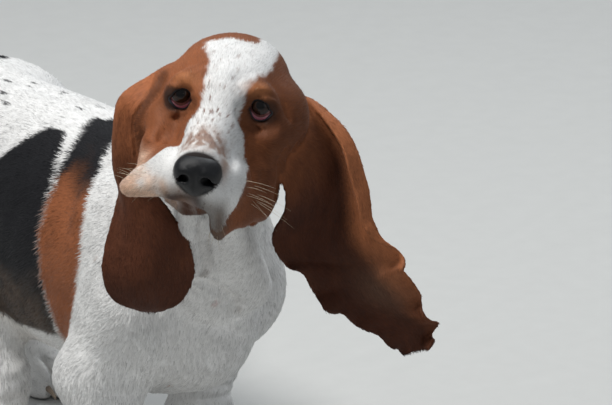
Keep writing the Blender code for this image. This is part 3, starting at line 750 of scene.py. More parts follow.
@dataclass(frozen=True)
class Face:
    """Skull, muzzle, lips, folds and lids, all in the head's frame."""

    eye_spacing: float = 74.0
    eye_radius: float = 12.8
    eye_outward: float = 20.0
    nose_length: float = 112.0
    nose: Tuple[float, float, float] = (21.5, 15.0, 20.5)
    nose_height: float = -31.0
    # Wrinkles of the dog's left side, mirrored on its right: a line, its half width and its depth.
    wrinkles: Tuple[Tuple[Sequence[Point], float, float], ...] = (
        (((22, -10, 20), (30, -4, 30), (42, 6, 26)), 4.5, 3.6),
        (((14, -8, 16), (12, 2, 34), (16, 20, 44)), 5, 2.4),
        (((26, -8, 24), (34, 2, 34), (46, 14, 28)), 4, -1.8),
        (((20, 4, 34), (32, 14, 40), (46, 24, 32)), 4.5, 2.0),
        (((42, -26, -22), (50, -30, -44), (52, -38, -64)), 4.5, 4.0),
        (((34, -22, -20), (40, -34, -40), (42, -50, -58)), 4.5, 2.8),
        (((58, -2, -30), (62, -6, -60), (54, -8, -86)), 5, 4.5),
        (((22, -38, -16), (26, -62, -24), (24, -84, -32)), 6, 2.6),
        (((62, 20, -30), (66, 14, -58), (58, 12, -86)), 5, 3.0),
        (((50, 4, 14), (58, 10, 0), (60, 8, -22)), 4.5, 3.0))

    def skull(self, f: Flesh) -> None:
        """Adds the domed skull, brows, temples and cheeks.

        Args:
            f: the volume.
        """
        f.ball((0, 50, -10), (57, 70, 44), 12, own=HEAD)
        f.ball((0, 22, -4), (42, 44, 33), 18, own=HEAD)
        f.ball((0, 64, 10), (42, 48, 23), 14, own=HEAD)
        for side in (-1, 1):
            f.ball((side * 50, 36, -26), (26, 40, 34), 16, (0, 0, side * -6), HEAD)
            f.ball((side * 32, 3, 14), (16, 13, 10), 8, (0, side * 16, side * -14), HEAD)
            f.ball((side * 47, 8, -30), (20, 30, 24), 12, own=HEAD)
            f.ball((side * 42, 4, -60), (18, 32, 28), 12, own=HEAD)
        f.ball((-62, 38, -20), (20, 22, 25), 12, own=FACING)
        f.ball((-64, 46, -42), (18, 20, 27), 10, own=FACING)

    def muzzle(self, f: Flesh) -> None:
        """Adds the muzzle and the lower jaw.

        Args:
            f: the volume.
        """
        f.limb((0, -6, -20), (0, -84, -30), 33, 23, 18, HEAD, (1.1, 1, 1))
        f.limb((0, -2, -42), (0, -76, -48), 36, 27, 14, HEAD, (1.02, 1, 1))
        f.ball((0, -90, -32), (21, 17, 21), 10, own=HEAD)
        f.limb((0, 24, -72), (-2, -66, -70), 28, 15, 12, HEAD)
        f.limb((-30, -30, -84), (-13, -72, -76), 11, 8, 8, HEAD)

    def lips(self, f: Flesh) -> None:
        """The right lip is flung out to the side, the left one hangs past the chin.

        Args:
            f: the volume.
        """
        f.ball((-21, -74, -46), (20, 30, 21), 10, (0, 6, 8), HEAD)
        f.limb((-22, -80, -48), (-62, -72, -66), 17, 8.5, 8, HEAD)
        f.limb((-28, -66, -40), (-66, -64, -68), 17, 9, 8, HEAD)
        f.limb((-34, -48, -46), (-60, -52, -66), 17, 10, 8, HEAD)
        f.limb((-46, -20, -50), (-54, -38, -68), 22, 13, 12, HEAD)
        f.ball((-44, 6, -66), (20, 36, 26), 14, own=HEAD)
        f.ball((21, -74, -50), (20, 32, 26), 10, (0, -6, -8), HEAD)
        f.ball((22, -72, -70), (14, 25, 27), 8, (0, -8, -12), HEAD)
        f.ball((34, -42, -70), (16, 34, 30), 10, (0, -8, -10), HEAD)
        f.ball((42, -6, -76), (17, 34, 32), 12, (0, -10, -4), HEAD)
        f.limb((19, -84, -80), (20, -76, -96), 9, 6, 6, HEAD)
        f.limb((2, -88, -84), (18, -40, -108), 4, 9, 6, HEAD, carve=True)
        f.limb((42, -4, -84), (38, -8, -108), 14, 6, 8, HEAD)

    def folds(self, f: Flesh) -> None:
        """Sinks the line of the mouth, the philtrum, brow wrinkles and cheek folds.

        Args:
            f: the volume.
        """
        f.crease([(0, -108, -52), (-1, -104, -66)], 2.2, 3.4, HEAD)
        f.crease([(2, -95, -68), (10, -84, -80), (20, -62, -84), (30, -30, -88)], 5, 6, HEAD)
        f.crease([(-4, -96, -64), (-26, -86, -70), (-52, -66, -78)], 4.5, 5, HEAD)
        f.crease([(2, -102, -60), (13, -98, -84), (22, -74, -99), (38, -34, -106), (44, 2, -112)],
                 3.0, -1.0, HEAD)
        for side in (-1, 1):
            for line, width, depth in self.wrinkles:
                f.crease([(side * x, y, z) for x, y, z in line], width, depth, HEAD)
        f.crease([(-52, 20, 14), (-58, 16, -14), (-54, 14, -38)], 3.6, 3.6, FACING)
        f.crease(EAR_GROOVE, 4.6, 8.0, FACING)

    def nose_bed(self, f: Flesh) -> None:
        """Sinks the flesh behind the nose leather, so that only leather shows in the nostrils."""
        middle = (0, self.nose[1] - self.nose_length - 3, self.nose_height)
        f.ball(middle, (17, 13, 15), 2, own=HEAD, carve=True)

    def eye_centre(self, side: int) -> Tuple[float, float, float]:
        """The eye's middle, in the head's frame."""
        return (side * (self.eye_spacing / 2 - 1), 3.0, 0.0)

    def inward_by(self, side: int) -> float:
        """How far the lids open toward the nose from the eyeball's own axis."""
        return 5.4 if side < 0 else 2.6

    def eye_frame(self, side: int) -> Frame:
        """The eye's own frame: -Y looks out of the lids."""
        return Frame(HEAD.out(self.eye_centre(side)), HEAD.matrix @ turn(0, 0, side * self.eye_outward))

    def lids(self, f: Flesh) -> None:
        """Adds the lid domes and opens them, with the lower lid drooping.

        Args:
            f: the volume.
        """
        for side in (-1, 1):
            own = self.eye_frame(side)
            f.ball((side * -4, -22, -2), (22, 11, 15), 9, (0, 0, side * -10), own, True)
            f.ball((0, 1.5, -1), (17.2, 16.8, 16.8), 5, own=own)
            near = side * -self.inward_by(side)
            f.ball((near, -15, -1.2), (12.6, 14, 5.0), 1.5, (0, side * 10, 0), own, True)
            f.ball((near - side * 0.6, -15, 2.2), (8.4, 14, 7.4), 2.5, (0, side * 20, 0), own, True)
            f.ball((near + side * 0.4, -15, -4.6), (8.6, 14, 8.6), 2.5, (0, side * -12, 0), own, True)
            f.crease([(side * -16, -10, 4), (side * -4, -15, 13), (side * 15, -8, 8)], 2.4, -1.3, own)
            f.crease([(side * -17, -9, 6), (0, -12, 17), (side * 19, -4, 9)], 3.0, 2.6, own)
            f.crease([(side * -12, -14, -9), (side, -15, -15), (side * 14, -10, -10)], 2.6, -1.7, own)
            f.crease([(side * -15, -13, -12), (side, -14, -22), (side * 17, -8, -17)], 3.2, 2.4, own)
            f.crease([(side * -17, -12, -16), (side * -2, -14, -29), (side * 15, -9, -25)], 3.6, 1.2, own)


FACE = Face()


@dataclass
class Ear:
    """One long ear as a thin leather flap around a ruled sheet.

    Its stations run from root to tip, each with the front edge, the middle and the rear edge, as
    across, deep and up from the photo's camera.
    """

    part: Part
    stations: Sequence[Sequence[Point]]
    fold: float = 0.0  # how far the rear edge rolls over
    rows: int = 76
    columns: int = 34
    thick: float = 3.4
    sheet: Array = field(init=False)

    def __post_init__(self) -> None:
        """Lays out the sheet."""
        self.sheet = FACING.out(self.make_sheet())

    def make_sheet(self) -> Array:
        """The middle surface, with its ruffles and veins.

        Returns:
            Rows by columns of points.
        """
        columns = [smooth_path([s[i] for s in self.stations], self.rows) for i in range(3)]
        rows = []
        for r in range(self.rows):
            front, mid, rear = (c[r] for c in columns)
            chain = [front, mid, rear]
            if self.fold:
                s = r / (self.rows - 1)
                roll = 3.0 + self.fold * sin(pi * min(1.0, max(0.0, (s - 0.04) / 0.5)))
                inward = (mid - rear) / np.linalg.norm(mid - rear)
                chain.append(rear + inward * (roll - 3.0) * 0.9 + np.array([0, -roll * 0.8 - 1.0, 0]))
            rows.append(evenly(smooth_path(chain, 90), self.columns))
        sheet = np.array(rows)
        s = np.linspace(0, 1, self.rows)[:, None]
        c = np.linspace(0, 1, self.columns)[None, :]
        edge = np.clip((np.abs(c - 0.5) - 0.15) / 0.35, 0, 1)
        if self.fold:
            low = np.clip((s - 0.42) / 0.2, 0, 1)
            rear = np.clip((c - 0.55) / 0.35, 0, 1)
            sheet[:, :, 1] += 6.5 * np.sin(s * 34 + c * 2.0) * low * edge
            sheet[:, :, 1] += 3.0 * np.sin(s * 71 + c * 5.0 + 1.0) * low * edge
            sheet[:, :, 0] += 3.6 * np.sin(s * 46 + 0.6) * low * rear
            sheet[:, :, 2] += 2.0 * np.sin(s * 58 + 2.0) * low * edge
            sheet[:, :, 1] += 3.2 * np.sin(s * 9 + c * 7.0) * (0.3 + 0.7 * low)
            crease = bell((s - 0.50) - 0.12 * (c - 0.3), 0.018) * np.clip(1.2 - 1.6 * c, 0, 1)
            sheet[:, :, 1] += 5.0 * crease
        else:
            sheet[:, :, 1] += 1.6 * np.sin(c * 15 + s * 3) * np.clip(s / 0.3, 0, 1) * (1 - s)
            sheet[:, :, 1] += 1.2 * np.sin(s * 26 + c * 4) * edge
        return sheet

    def closed(self) -> Tuple[Array, Array]:
        """Points and quads of the closed flap, thinner at its edge.

        Returns:
            Its points and its quads.
        """
        across, down = np.gradient(self.sheet, axis=1), np.gradient(self.sheet, axis=0)
        normal = unit(np.cross(across, down))
        c = np.linspace(-1, 1, self.columns)
        half = self.thick / 2 * np.sqrt(np.clip(1.0 - 0.55 * c ** 4, 0.3, 1))[None, :, None]
        s = np.linspace(0, 1, self.rows)[:, None, None]
        half = half * np.clip(1.35 - 0.6 * s, 0.85, 1.3)
        top, bottom = self.sheet - normal * half, self.sheet + normal * half
        points = np.concatenate([top.reshape(-1, 3), bottom.reshape(-1, 3)])
        size = self.rows * self.columns
        index = np.arange(size).reshape(self.rows, self.columns)
        upper = grid_quads(index)
        quads = [upper, size + upper[:, FLIPPED]]
        rim = np.concatenate([index[0], index[1:, -1], index[-1, -2::-1], index[-2:0:-1, 0]])
        after = np.roll(rim, -1)
        quads.append(np.stack([after, rim, size + rim, size + after], 1))
        return points, np.concatenate(quads)

    def lies(self) -> Tuple[Array, Array]:
        """Sheet points as a list, and the way down the ear at each."""
        down = unit(np.gradient(self.sheet, axis=0))
        return self.sheet.reshape(-1, 3), down.reshape(-1, 3)


EARS = (
    Ear(Part.EAR_RIGHT, (
        ((-40, 44, 20), (-48, 62, 29), (-42, 92, 18)), ((-58, 34, 11), (-66, 52, 21), (-58, 90, 12)),
        ((-76, 27, -6), (-90, 50, 4), (-78, 88, -6)), ((-81, 30, -26), (-97, 55, -22), (-84, 92, -28)),
        ((-73, 38, -65), (-96, 58, -64), (-90, 96, -66)), ((-48, 55, -98), (-77, 52, -101), (-99, 90, -101)),
        ((-30, 70, -130), (-68, 54, -134), (-108, 92, -134)),
        ((-26, 86, -157), (-67, 62, -163), (-110, 98, -160)),
        ((-37, 97, -181), (-68, 80, -184), (-101, 104, -180)),
        ((-54, 102, -190), (-68, 97, -191), (-80, 105, -189)))),
    Ear(Part.EAR_LEFT, (
        ((44, 16, -58), (56, 40, -28), (62, 74, 8)), ((57, 18, -78), (82, 50, -40), (88, 72, -4)),
        ((57, 22, -100), (96, 62, -70), (115, 62, -32)), ((46, 27, -122), (92, 68, -108), (130, 58, -74)),
        ((54, 33, -144), (98, 70, -131), (137, 56, -114)), ((76, 48, -160), (116, 78, -154), (158, 63, -139)),
        ((91, 63, -186), (130, 84, -176), (170, 72, -163)),
        ((116, 75, -199), (150, 90, -193), (185, 82, -193)),
        ((148, 88, -219), (169, 95, -213), (194, 92, -209)),
        ((165, 97, -231), (175, 99, -228), (186, 98, -225))),
        fold=15.0),
)


@dataclass
class Body:
    """The whole volume, sampled closely round the head and wider behind."""

    step: float = 1.7
    wide: float = 3.9
    depth: float = 1.4  # the coat's depth, by which the skin lies inside the outline
    # The close part of the grid, in whole steps from the dog's origin, and how far the rest goes.
    start: Tuple[int, int, int] = (-112, -306, 139)
    stop: Tuple[int, int, int] = (85, -141, 330)
    floor: float = -10.0
    rear: float = 430.0
    reach: float = 6.0  # how far an ear's own distance is known, in steps
    flesh: Flesh = field(init=False)
    ear_values: List[Array] = field(init=False, default_factory=list)

    def __post_init__(self) -> None:
        """Sets out the grid, with close lines round the head at whole steps."""
        h = self.step
        x0, y0, z0 = (i * h for i in self.start)
        x1, y1, z1 = (i * h for i in self.stop)
        xs, ys = spaced([(x0, h), (x1, h)]), spaced([(y0, h), (y1, self.wide), (self.rear, h)])
        zs = spaced([(self.floor, self.wide), (z0, h), (z1, h)])
        self.flesh = Flesh([xs, ys, zs])
        self.low_rows = len(zs) - (self.stop[2] - self.start[2]) - 1

    def build(self) -> None:
        """Adds every mass, then the folds, the ears and the lids."""
        f = self.flesh
        trunk, nape, tail = Trunk(), Nape(), Tail()
        trunk.shape(f)
        tail.shape(f)
        nape.shape(f)
        for leg in LEGS:
            leg.shape(f)
        f.ball((-72, 108, 214), (30, 74, 50), 35)
        f.ball((70, 150, 214), (30, 70, 48), 35)
        FACE.skull(f)
        FACE.muzzle(f)
        FACE.lips(f)
        FACE.folds(f)
        trunk.folds(f)
        nape.folds(f)
        for leg in LEGS:
            leg.folds(f)
        f.value += np.float32(self.depth)
        for ear in EARS:
            self.join_ear(ear)
        FACE.lids(f)
        FACE.nose_bed(f)
        self.level_soles()

    def level_soles(self) -> None:
        """Levels the soles where the dog stands, with a small round at their edge."""
        f, fillet = self.flesh, 2.0
        low = (slice(None), slice(None), slice(0, int(np.searchsorted(f.axes[2], SOLE + 20))))
        old = f.value[low]
        flat = np.broadcast_to(SOLE - f.axes[2][None, None, :], f.value.shape)[low]
        reach = np.maximum(fillet - np.abs(old - flat), 0.0) / fillet
        f.value[low] = (np.maximum(old, flat) + reach * reach * (fillet / 4)).astype(np.float32)

    def join_ear(self, ear: Ear) -> None:
        """Grows an ear out of the head, with a wide fillet at its root alone.

        Args:
            ear: the ear to join.
        """
        f = self.flesh
        points, quads = ear.closed()
        grid = openvdb.FloatGrid.createLevelSetFromPolygons(
            points.astype(np.float32), quads=quads.astype(np.uint32),
            transform=openvdb.createLinearTransform(voxelSize=self.step), halfWidth=self.reach)
        count = [b - a + 1 for a, b in zip(self.start, self.stop)]
        found = np.zeros(count, np.float32)
        grid.copyToArray(found, ijk=self.start)
        cuts = (slice(0, count[0]), slice(0, count[1]), slice(self.low_rows, self.low_rows + count[2]))
        p = f.local(cuts, WORLD)
        away = None
        for root in ear.sheet[0, ::6]:
            near = sum((q - c) ** 2 for q, c in zip(p, root))
            away = near if away is None else np.minimum(away, near)
        f.blend(cuts, found, 1.2 + 8.0 * np.exp(-away / 26.0 ** 2))
        values = np.full(f.value.shape, 9.6, np.float32)
        values[cuts] = found
        self.ear_values.append(values)


NECK_LOW = (np.array([0, 0.70, -0.71]), np.array([0, -150.0, 350.0]))
NECK_HIGH = (HEAD.direction((0.0, -0.775, 0.632)), HEAD.out((0.0, 16.0, -116.0)))
TAIL_CUT = (np.array([0, -0.62, -0.78]), np.array([0, 306.0, 338.0]))


def beyond(points: Array, plane: Tuple[Array, Array]) -> Array:
    """Distance of points beyond a plane, along its normal."""
    return (points - plane[1]) @ unit(plane[0])


def tree_of(points: Array) -> KDTree:
    """A search tree over points.

    Args:
        points: one row a point.

    Returns:
        The balanced tree.
    """
    tree = KDTree(len(points))
    for i, point in enumerate(points):
        tree.insert(point, i)
    tree.balance()
    return tree


class Skin:
    """The polygonised skin with what the coat needs at each vertex."""

    def __init__(self, body: Body) -> None:
        """Polygonises the volume and sorts its vertices into parts.

        Args:
            body: the joined body.
        """
        self.body = body
        self.points, self.quads = self.largest(*body.flesh.surface())
        self.triangles = np.concatenate([self.quads[:, [0, 1, 2]], self.quads[:, [0, 2, 3]]])
        self.normals = self.vertex_normals()
        self.ear_place = np.full((len(self.points), 2), -1.0)
        self.part = self.sort_parts()
        self.lie = self.lay()

    @staticmethod
    def largest(points: Array, quads: Array) -> Tuple[Array, Array]:
        """Only the largest closed surface.

        Args:
            points: the vertices.
            quads: the faces.

        Returns:
            The points and quads that belong to it.
        """
        label = np.arange(len(points))
        while True:
            low = label[quads].min(1)
            new = label.copy()
            for i in range(4):
                np.minimum.at(new, quads[:, i], low)
            new = new[new]
            if (new == label).all():
                break
            label = new
        keep = label == np.bincount(label).argmax()
        order = np.cumsum(keep) - 1
        return points[keep], order[quads[keep[quads[:, 0]]]]

    def vertex_normals(self) -> Array:
        """Area-weighted normals, facing out.

        Returns:
            One direction a vertex.
        """
        a, b, c = (self.points[self.triangles[:, i]] for i in range(3))
        n = np.cross(b - a, c - a)
        self.areas = np.linalg.norm(n, axis=1) / 2
        if np.einsum("ij,ij->i", a, n).sum() < 0:
            self.quads = self.quads[:, ::-1]
            self.triangles = self.triangles[:, ::-1]
            n = -n
        total = np.zeros_like(self.points)
        for i in range(3):
            for axis in range(3):
                total[:, axis] += np.bincount(self.triangles[:, i], n[:, axis], len(self.points))
        return unit(total)

    def sort_parts(self) -> Array:
        """Sorts the vertices by the planes between the parts and the ears' own fields.

        Returns:
            A part's code for each vertex.
        """
        p = self.points
        part = np.full(len(p), CODE[Part.TORSO])
        part[beyond(p, NECK_LOW) < 0] = CODE[Part.NECK]
        part[(beyond(p, NECK_HIGH) > 0) & (p[:, 2] > 330)] = CODE[Part.HEAD]
        part[(beyond(p, TAIL_CUT) < 0) & (p[:, 1] > 292)] = CODE[Part.TAIL]
        for leg in LEGS:
            top = 158.0 if "front" in leg.part.value else 214.0
            near = np.abs(p[:, 0] - leg.bend[0]) < 60
            centre = np.interp(p[:, 2], [0, leg.low[2], leg.bend[2], leg.top[2]],
                               [leg.foot[1], leg.low[1], leg.bend[1], leg.top[1]])
            inner = leg.side * p[:, 0] > 38
            slant = p[:, 2] < top + 0.5 * (np.abs(p[:, 0]) - 80)
            part[near & inner & slant & (np.abs(p[:, 1] - centre) < 84)] = CODE[leg.part]
        for ear, values in zip(EARS, self.body.ear_values):
            away = self.body.flesh.sample(p, values)
            mine = np.flatnonzero(away < 1.3)
            part[mine] = CODE[ear.part]
            tree = tree_of(ear.lies()[0])
            found = np.array([tree.find(q)[1] for q in p[mine]])
            self.ear_place[mine, 0] = (found % ear.columns) / (ear.columns - 1)
            self.ear_place[mine, 1] = (found // ear.columns) / (ear.rows - 1)
        return part

    def lay(self) -> Array:
        """The way that the coat lies, along the skin.

        Returns:
            One direction a vertex.
        """
        p, n = self.points, self.normals
        sideways = np.clip(np.abs(p[:, 0]) / 100, 0, 1)
        ones = np.ones(len(p))
        trunk = np.stack([0 * ones, ones, -0.12 - 0.75 * sideways ** 2], 1)
        chest = smoothstep(0.35, 0.85, -n[:, 1])[:, None]
        trunk = trunk * (1 - chest) + np.array([0, 0.2, -1.0]) * chest
        neck = np.broadcast_to(np.array([0, 0.62, -0.78]), p.shape)
        local = HEAD.into(p)
        radial = unit(local - np.array([0, -120.0, -22.0]))
        sag = smoothstep(-20, -70, local[:, 2])[:, None]
        radial = radial + np.array([0, 0.25, -1.1]) * sag * 0.8
        head = HEAD.direction(radial)
        w_head = smoothstep(-26, 20, beyond(p, NECK_HIGH))[:, None]
        w_trunk = smoothstep(-45, 45, beyond(p, NECK_LOW))[:, None]
        lie = unit(head) * w_head + (1 - w_head) * (trunk * w_trunk + neck * (1 - w_trunk))
        for leg in LEGS:
            mine = self.part == CODE[leg.part]
            own = PAW.own(leg.side, leg.foot)
            toe = own.direction((0, -1.0, -0.35))
            low = smoothstep(62, 34, p[:, 2])[:, None]
            way = np.array([0, 0.22, -1.0]) * (1 - low) + toe * low
            high = smoothstep(leg.bend[2] + 62, leg.bend[2] - 20, p[:, 2])[:, None]
            lie = np.where(mine[:, None], lie * (1 - high) + way * high, lie)
        path = Tail().path(40)
        mine = np.flatnonzero(self.part == CODE[Part.TAIL])
        near = np.linalg.norm(p[mine, None] - path[None, :-1], axis=2).argmin(1)
        lie[mine] = unit(np.diff(path, axis=0))[near]
        for ear in EARS:
            mine = np.flatnonzero(self.part == CODE[ear.part])
            _, down = ear.lies()
            row = (self.ear_place[mine, 1] * (ear.rows - 1)).round().astype(int)
            column = (self.ear_place[mine, 0] * (ear.columns - 1)).round().astype(int)
            lie[mine] = down[row * ear.columns + column]
        flat = lie - n * np.einsum("ij,ij->i", lie, n)[:, None]
        return unit(flat)


# Coat colours, as linear light.
WHITE = np.array([0.80, 0.79, 0.775])
TAN = np.array([0.315, 0.106, 0.042])
RUST = np.array([0.17, 0.056, 0.022])
CHESTNUT = np.array([0.108, 0.034, 0.0155])
MAHOGANY = np.array([0.056, 0.0165, 0.008])
BLACK = np.array([0.0115, 0.0115, 0.0135])
GREY_BROWN = np.array([0.10, 0.070, 0.052])
PEACH = np.array([0.84, 0.58, 0.43])
LIVER = np.array([0.21, 0.105, 0.078])
LIP = np.array([0.052, 0.040, 0.037])
PAD = np.array([0.03, 0.024, 0.022])
ROAN = np.array([0.27, 0.145, 0.095])
ROAN_TICK = np.array([0.17, 0.085, 0.058])
STRIPE = np.array([0.30, 0.155, 0.09])
FRECKLE = np.array([0.42, 0.235, 0.155])
LIP_TIP = np.array([0.56, 0.31, 0.20])
FLEW_TICK = np.array([0.16, 0.115, 0.09])
FLEW_GREY = np.array([0.10, 0.074, 0.058])
FLEW_EDGE = np.array([0.13, 0.085, 0.06])
CHIN = np.array([0.62, 0.50, 0.43])
MOUTH_LINING_AND_SHADE = np.array([0.085, 0.034, 0.02])
LID_SKIN = np.array([0.022, 0.015, 0.013])
EYE_PAINTED_SHADE = np.array([0.07, 0.026, 0.013])
TEAR = np.array([0.10, 0.037, 0.018])
BROW_HIGHLIGHT = np.array([0.50, 0.20, 0.08])
BROW_FOLD_SHADE = np.array([0.10, 0.034, 0.016])
BAND_EDGE = np.array([0.05, 0.024, 0.013])
PUPIL = np.array([0.004, 0.003, 0.003])
IRIS = np.array([0.022, 0.009, 0.005])
EYE_WHITE = np.array([0.15, 0.060, 0.058])
LID_EDGE = np.array([0.007, 0.005, 0.005])
LID_SHINE = np.array([0.034, 0.032, 0.040])
HAW_PINK = np.array([0.50, 0.15, 0.21])
HAW_EDGE = np.array([0.16, 0.035, 0.045])
NOSE_BLACK = np.array([0.0062, 0.0062, 0.0075])
NOSTRIL_SHADE = np.array([0.003, 0.003, 0.003])
CLAW_ROOT = np.array([0.16, 0.115, 0.085])
CLAW_TIP = np.array([0.42, 0.33, 0.25])
WHISKER = np.array([0.55, 0.45, 0.32])
BACK_TICK = np.array([0.035, 0.034, 0.038])
LEG_TICK = np.array([0.45, 0.24, 0.15])
CHEST_TICK = np.array([0.03, 0.028, 0.03])
FOLD_PAINTED_SHADE = np.array([0.15, 0.10, 0.07])
PINK = np.array([0.52, 0.24, 0.22])
CREAM = np.array([0.70, 0.62, 0.54])
EAR_BAND_AND_HIGHLIGHT = np.array([0.42, 0.15, 0.062])
EAR_SHEEN = np.array([0.17, 0.095, 0.062])


def distance_to(points: Array, path: Sequence[Point]) -> Array:
    """Distance from points to a line through the path's points.

    Args:
        points: where to measure from.
        path: the line's points.

    Returns:
        One distance a point.
    """
    path = np.array(path, float)
    best = np.full(len(points), 1e9)
    for a, b in zip(path[:-1], path[1:]):
        d = b - a
        t = np.clip(((points - a) @ d) / (d @ d), 0, 1)
        best = np.minimum(best, np.linalg.norm(points - a - t[:, None] * d, axis=1))
    return best


@dataclass(frozen=True)
class Markings:
    """The pattern of the coat, by place on the dog, with painted shade and painted highlights laid over it in
    places. Skin and tufts both take their colour here.
    """

    # Borders of the white blaze: place along the head, and angle round the muzzle's long axis.
    blaze_right: Tuple[Tuple[float, float], ...] = (
        (-66, -190), (-63, -84), (-60, -67), (-45, -51), (-40, -34.5), (-36, -18.4), (-23, -14), (-11, -13),
        (15, -13.6), (35, -17), (62, -22), (85, -24))
    blaze_left: Tuple[Tuple[float, float], ...] = (
        (-96, 190), (-90, 135), (-85, 108), (-75, 94), (-42, 92), (-36, 78), (-31, 45), (-16, 27), (-10, 23),
        (2, 24), (34, 29.6), (56, 30), (85, 30))
    # The shoulder band's front edge and the saddle's front edge: angle round the barrel and place along it.
    band_front: Tuple[Tuple[float, float], ...] = (
        (0, -74), (16.5, -95), (26, -109), (33, -118), (44, -138), (57, -149), (66, -152), (88, -147),
        (106, -133), (115, -128), (128, -104), (140, -80))
    band_rear: Tuple[Tuple[float, float], ...] = (
        (0, -22), (16, -37), (28, -53), (39, -62), (54, -65), (71, -69), (90, -82), (109, -90), (122, -92),
        (135, -88))
    saddle_front: Tuple[Tuple[float, float], ...] = (
        (0, 10), (18, -4), (20, -24), (28, -40), (37, -55), (54, -65), (71, -69), (90, -82), (109, -88),
        (140, -84))
    saddle_top: Tuple[Tuple[float, float], ...] = (
        (-30, 17), (-2, 18.5), (6, 24), (19, 33), (34, 42), (60, 56), (84, 80), (98, 110))
    noise: Noise = Noise(5)
    fine: Noise = Noise(11)

    def colours(self, p: Array, n: Array, part: Array, ear_place: Array) -> Array:
        """The coat's colour at points on the skin, with painted shade in the groove in front of the right
        ear.

        Args:
            p: the points, in the dog's frame.
            n: the skin's normals there.
            part: the code of the part each lies on.
            ear_place: place across and down the ear, or -1.

        Returns:
            One linear colour a point.
        """
        local = HEAD.into(p)
        colour = self.trunk(p, n)
        head = self.head(p, local)
        near = smoothstep(-6, 3, self.head_border(p, local))
        colour = mix(colour, head, near)
        for ear in EARS:
            mine = part == CODE[ear.part]
            if mine.any():
                colour[mine] = self.ear(p[mine], ear_place[mine], ear.fold > 0)
        seen = FACING.into(p)
        flatten = np.array([1, 0.3, 1])
        groove = distance_to(seen * flatten, np.array(EAR_GROOVE) * flatten)
        # Painted shade: the groove between the right ear's front edge and the cheek is darkened.
        shade = bell(groove, 4.2) * smoothstep(50, 34, seen[:, 1])
        return mix(colour, colour * 0.3, shade * 0.85)

    def head_border(self, p: Array, local: Array) -> Array:
        """How far inside the head's own pattern a point is.

        Args:
            p: the points, in the dog's frame.
            local: the same in the head's frame.

        Returns:
            One distance a point, below 0 outside.
        """
        wave = 7 * self.noise.smooth(p, 26) + 3 * self.noise.smooth(p, 9)
        drop = np.maximum(0, -local[:, 2] - 40)
        back = 106 - local[:, 1] - 0.62 * drop
        left = smoothstep(20, 40, local[:, 0])
        floor = local[:, 2] + 103 + 13 * left
        under = np.where(local[:, 1] < -40, 60.0, floor)
        return np.minimum(back, under) + wave * 0.7

    def head(self, p: Array, local: Array) -> Array:
        """Red tan with a white blaze, ticked bridge, peach and dark lips.

        Args:
            p: the points, in the dog's frame.
            local: the same in the head's frame.

        Returns:
            One colour a point.
        """
        x, y, z = local.T
        phi = np.degrees(np.arctan2(x, z + 40))
        right = np.interp(y, *np.array(self.blaze_right).T)
        left = np.interp(y, *np.array(self.blaze_left).T)
        wave = 2.4 * self.noise.smooth(p, 11) + 1.6 * self.fine.smooth(p, 4)
        inside = np.minimum(left - phi, phi - right) + wave
        white = smoothstep(-2.2, 2.2, inside)
        cheek_low = -(96 + (y + 62) * 0.55)
        white = np.maximum(white, smoothstep(-3, 3, cheek_low - phi + wave) * (y < 30))
        patch = smoothstep(-1.5, 2.5, y - np.interp(x, [-29, -23, -8, 5, 17], [58, 57, 61, 60, 62]) + wave)
        patch *= smoothstep(2, -2, x - 18 - wave)
        white = white * (1 - patch)
        tan = self.tan_with_side_shade(p, local)
        colour = mix(tan, WHITE, white)
        bridge = smoothstep(34, 8, np.abs(x + 2)) * smoothstep(60, 20, y) * smoothstep(-96, -60, y)
        ticks = self.fine.spots(local, 6.5, 0.55, 1.6, (0.8, 1.7, 1.2))
        ticks = np.maximum(ticks, self.noise.spots(local, 4.2, 0.4, 1.05, (0.8, 1.6, 1.1)))
        heavy = 0.5 + 0.5 * smoothstep(10, -30, y)
        colour = mix(colour, LIVER, ticks * white * bridge * heavy * 0.95)
        peach = np.exp(-(((x + 1) / 21) ** 2 + ((y + 77) / 13) ** 2)) * smoothstep(-26, -18, z)
        blotch = 0.55 + 0.75 * self.fine.smooth(p, 4)
        colour = mix(colour, ROAN, np.clip(peach * 2.2 * blotch, 0, 0.85) * white)
        above = np.exp(-(((x + 1) / 25) ** 2 + ((y + 66) / 22) ** 2)) * smoothstep(-34, -24, z)
        dense = self.noise.spots(local, 3.3, 0.7, 1.15, (0.8, 1.5, 1.0))
        colour = mix(colour, ROAN_TICK, dense * above * 0.8 * white)
        stripe = bell(x - 22, 3.6) * smoothstep(-104, -92, y) * smoothstep(-76, -84, y)
        colour = mix(colour, STRIPE, stripe * 0.7 * (z < -10))
        colour = self.lips(p, local, colour)
        return self.round_eyes(p, colour)

    def tan_with_side_shade(self, p: Array, local: Array) -> Array:
        """The tan, orange on the right cheek and darker near the left eye and toward the back of the head:
        painted shade over the dog's left side of the head and painted light on its right side, on top of a
        random drift.

        Args:
            p: the points, in the dog's frame.
            local: the same in the head's frame.

        Returns:
            One colour a point.
        """
        x, y, _ = local.T
        tone = 0.30 + 0.28 * self.noise.smooth(p, 30) + 0.12 * self.fine.smooth(p, 7)
        # Painted shade over the head's left side (+x) and painted light on its right side (-x); darker toward
        # the back.
        tone += 0.62 * smoothstep(12, 55, x) + 0.34 * smoothstep(40, 95, y)
        tone -= 0.25 * smoothstep(-20, -60, x)
        base = np.broadcast_to(TAN, (len(p), 3))
        return mix(base, RUST, tone)

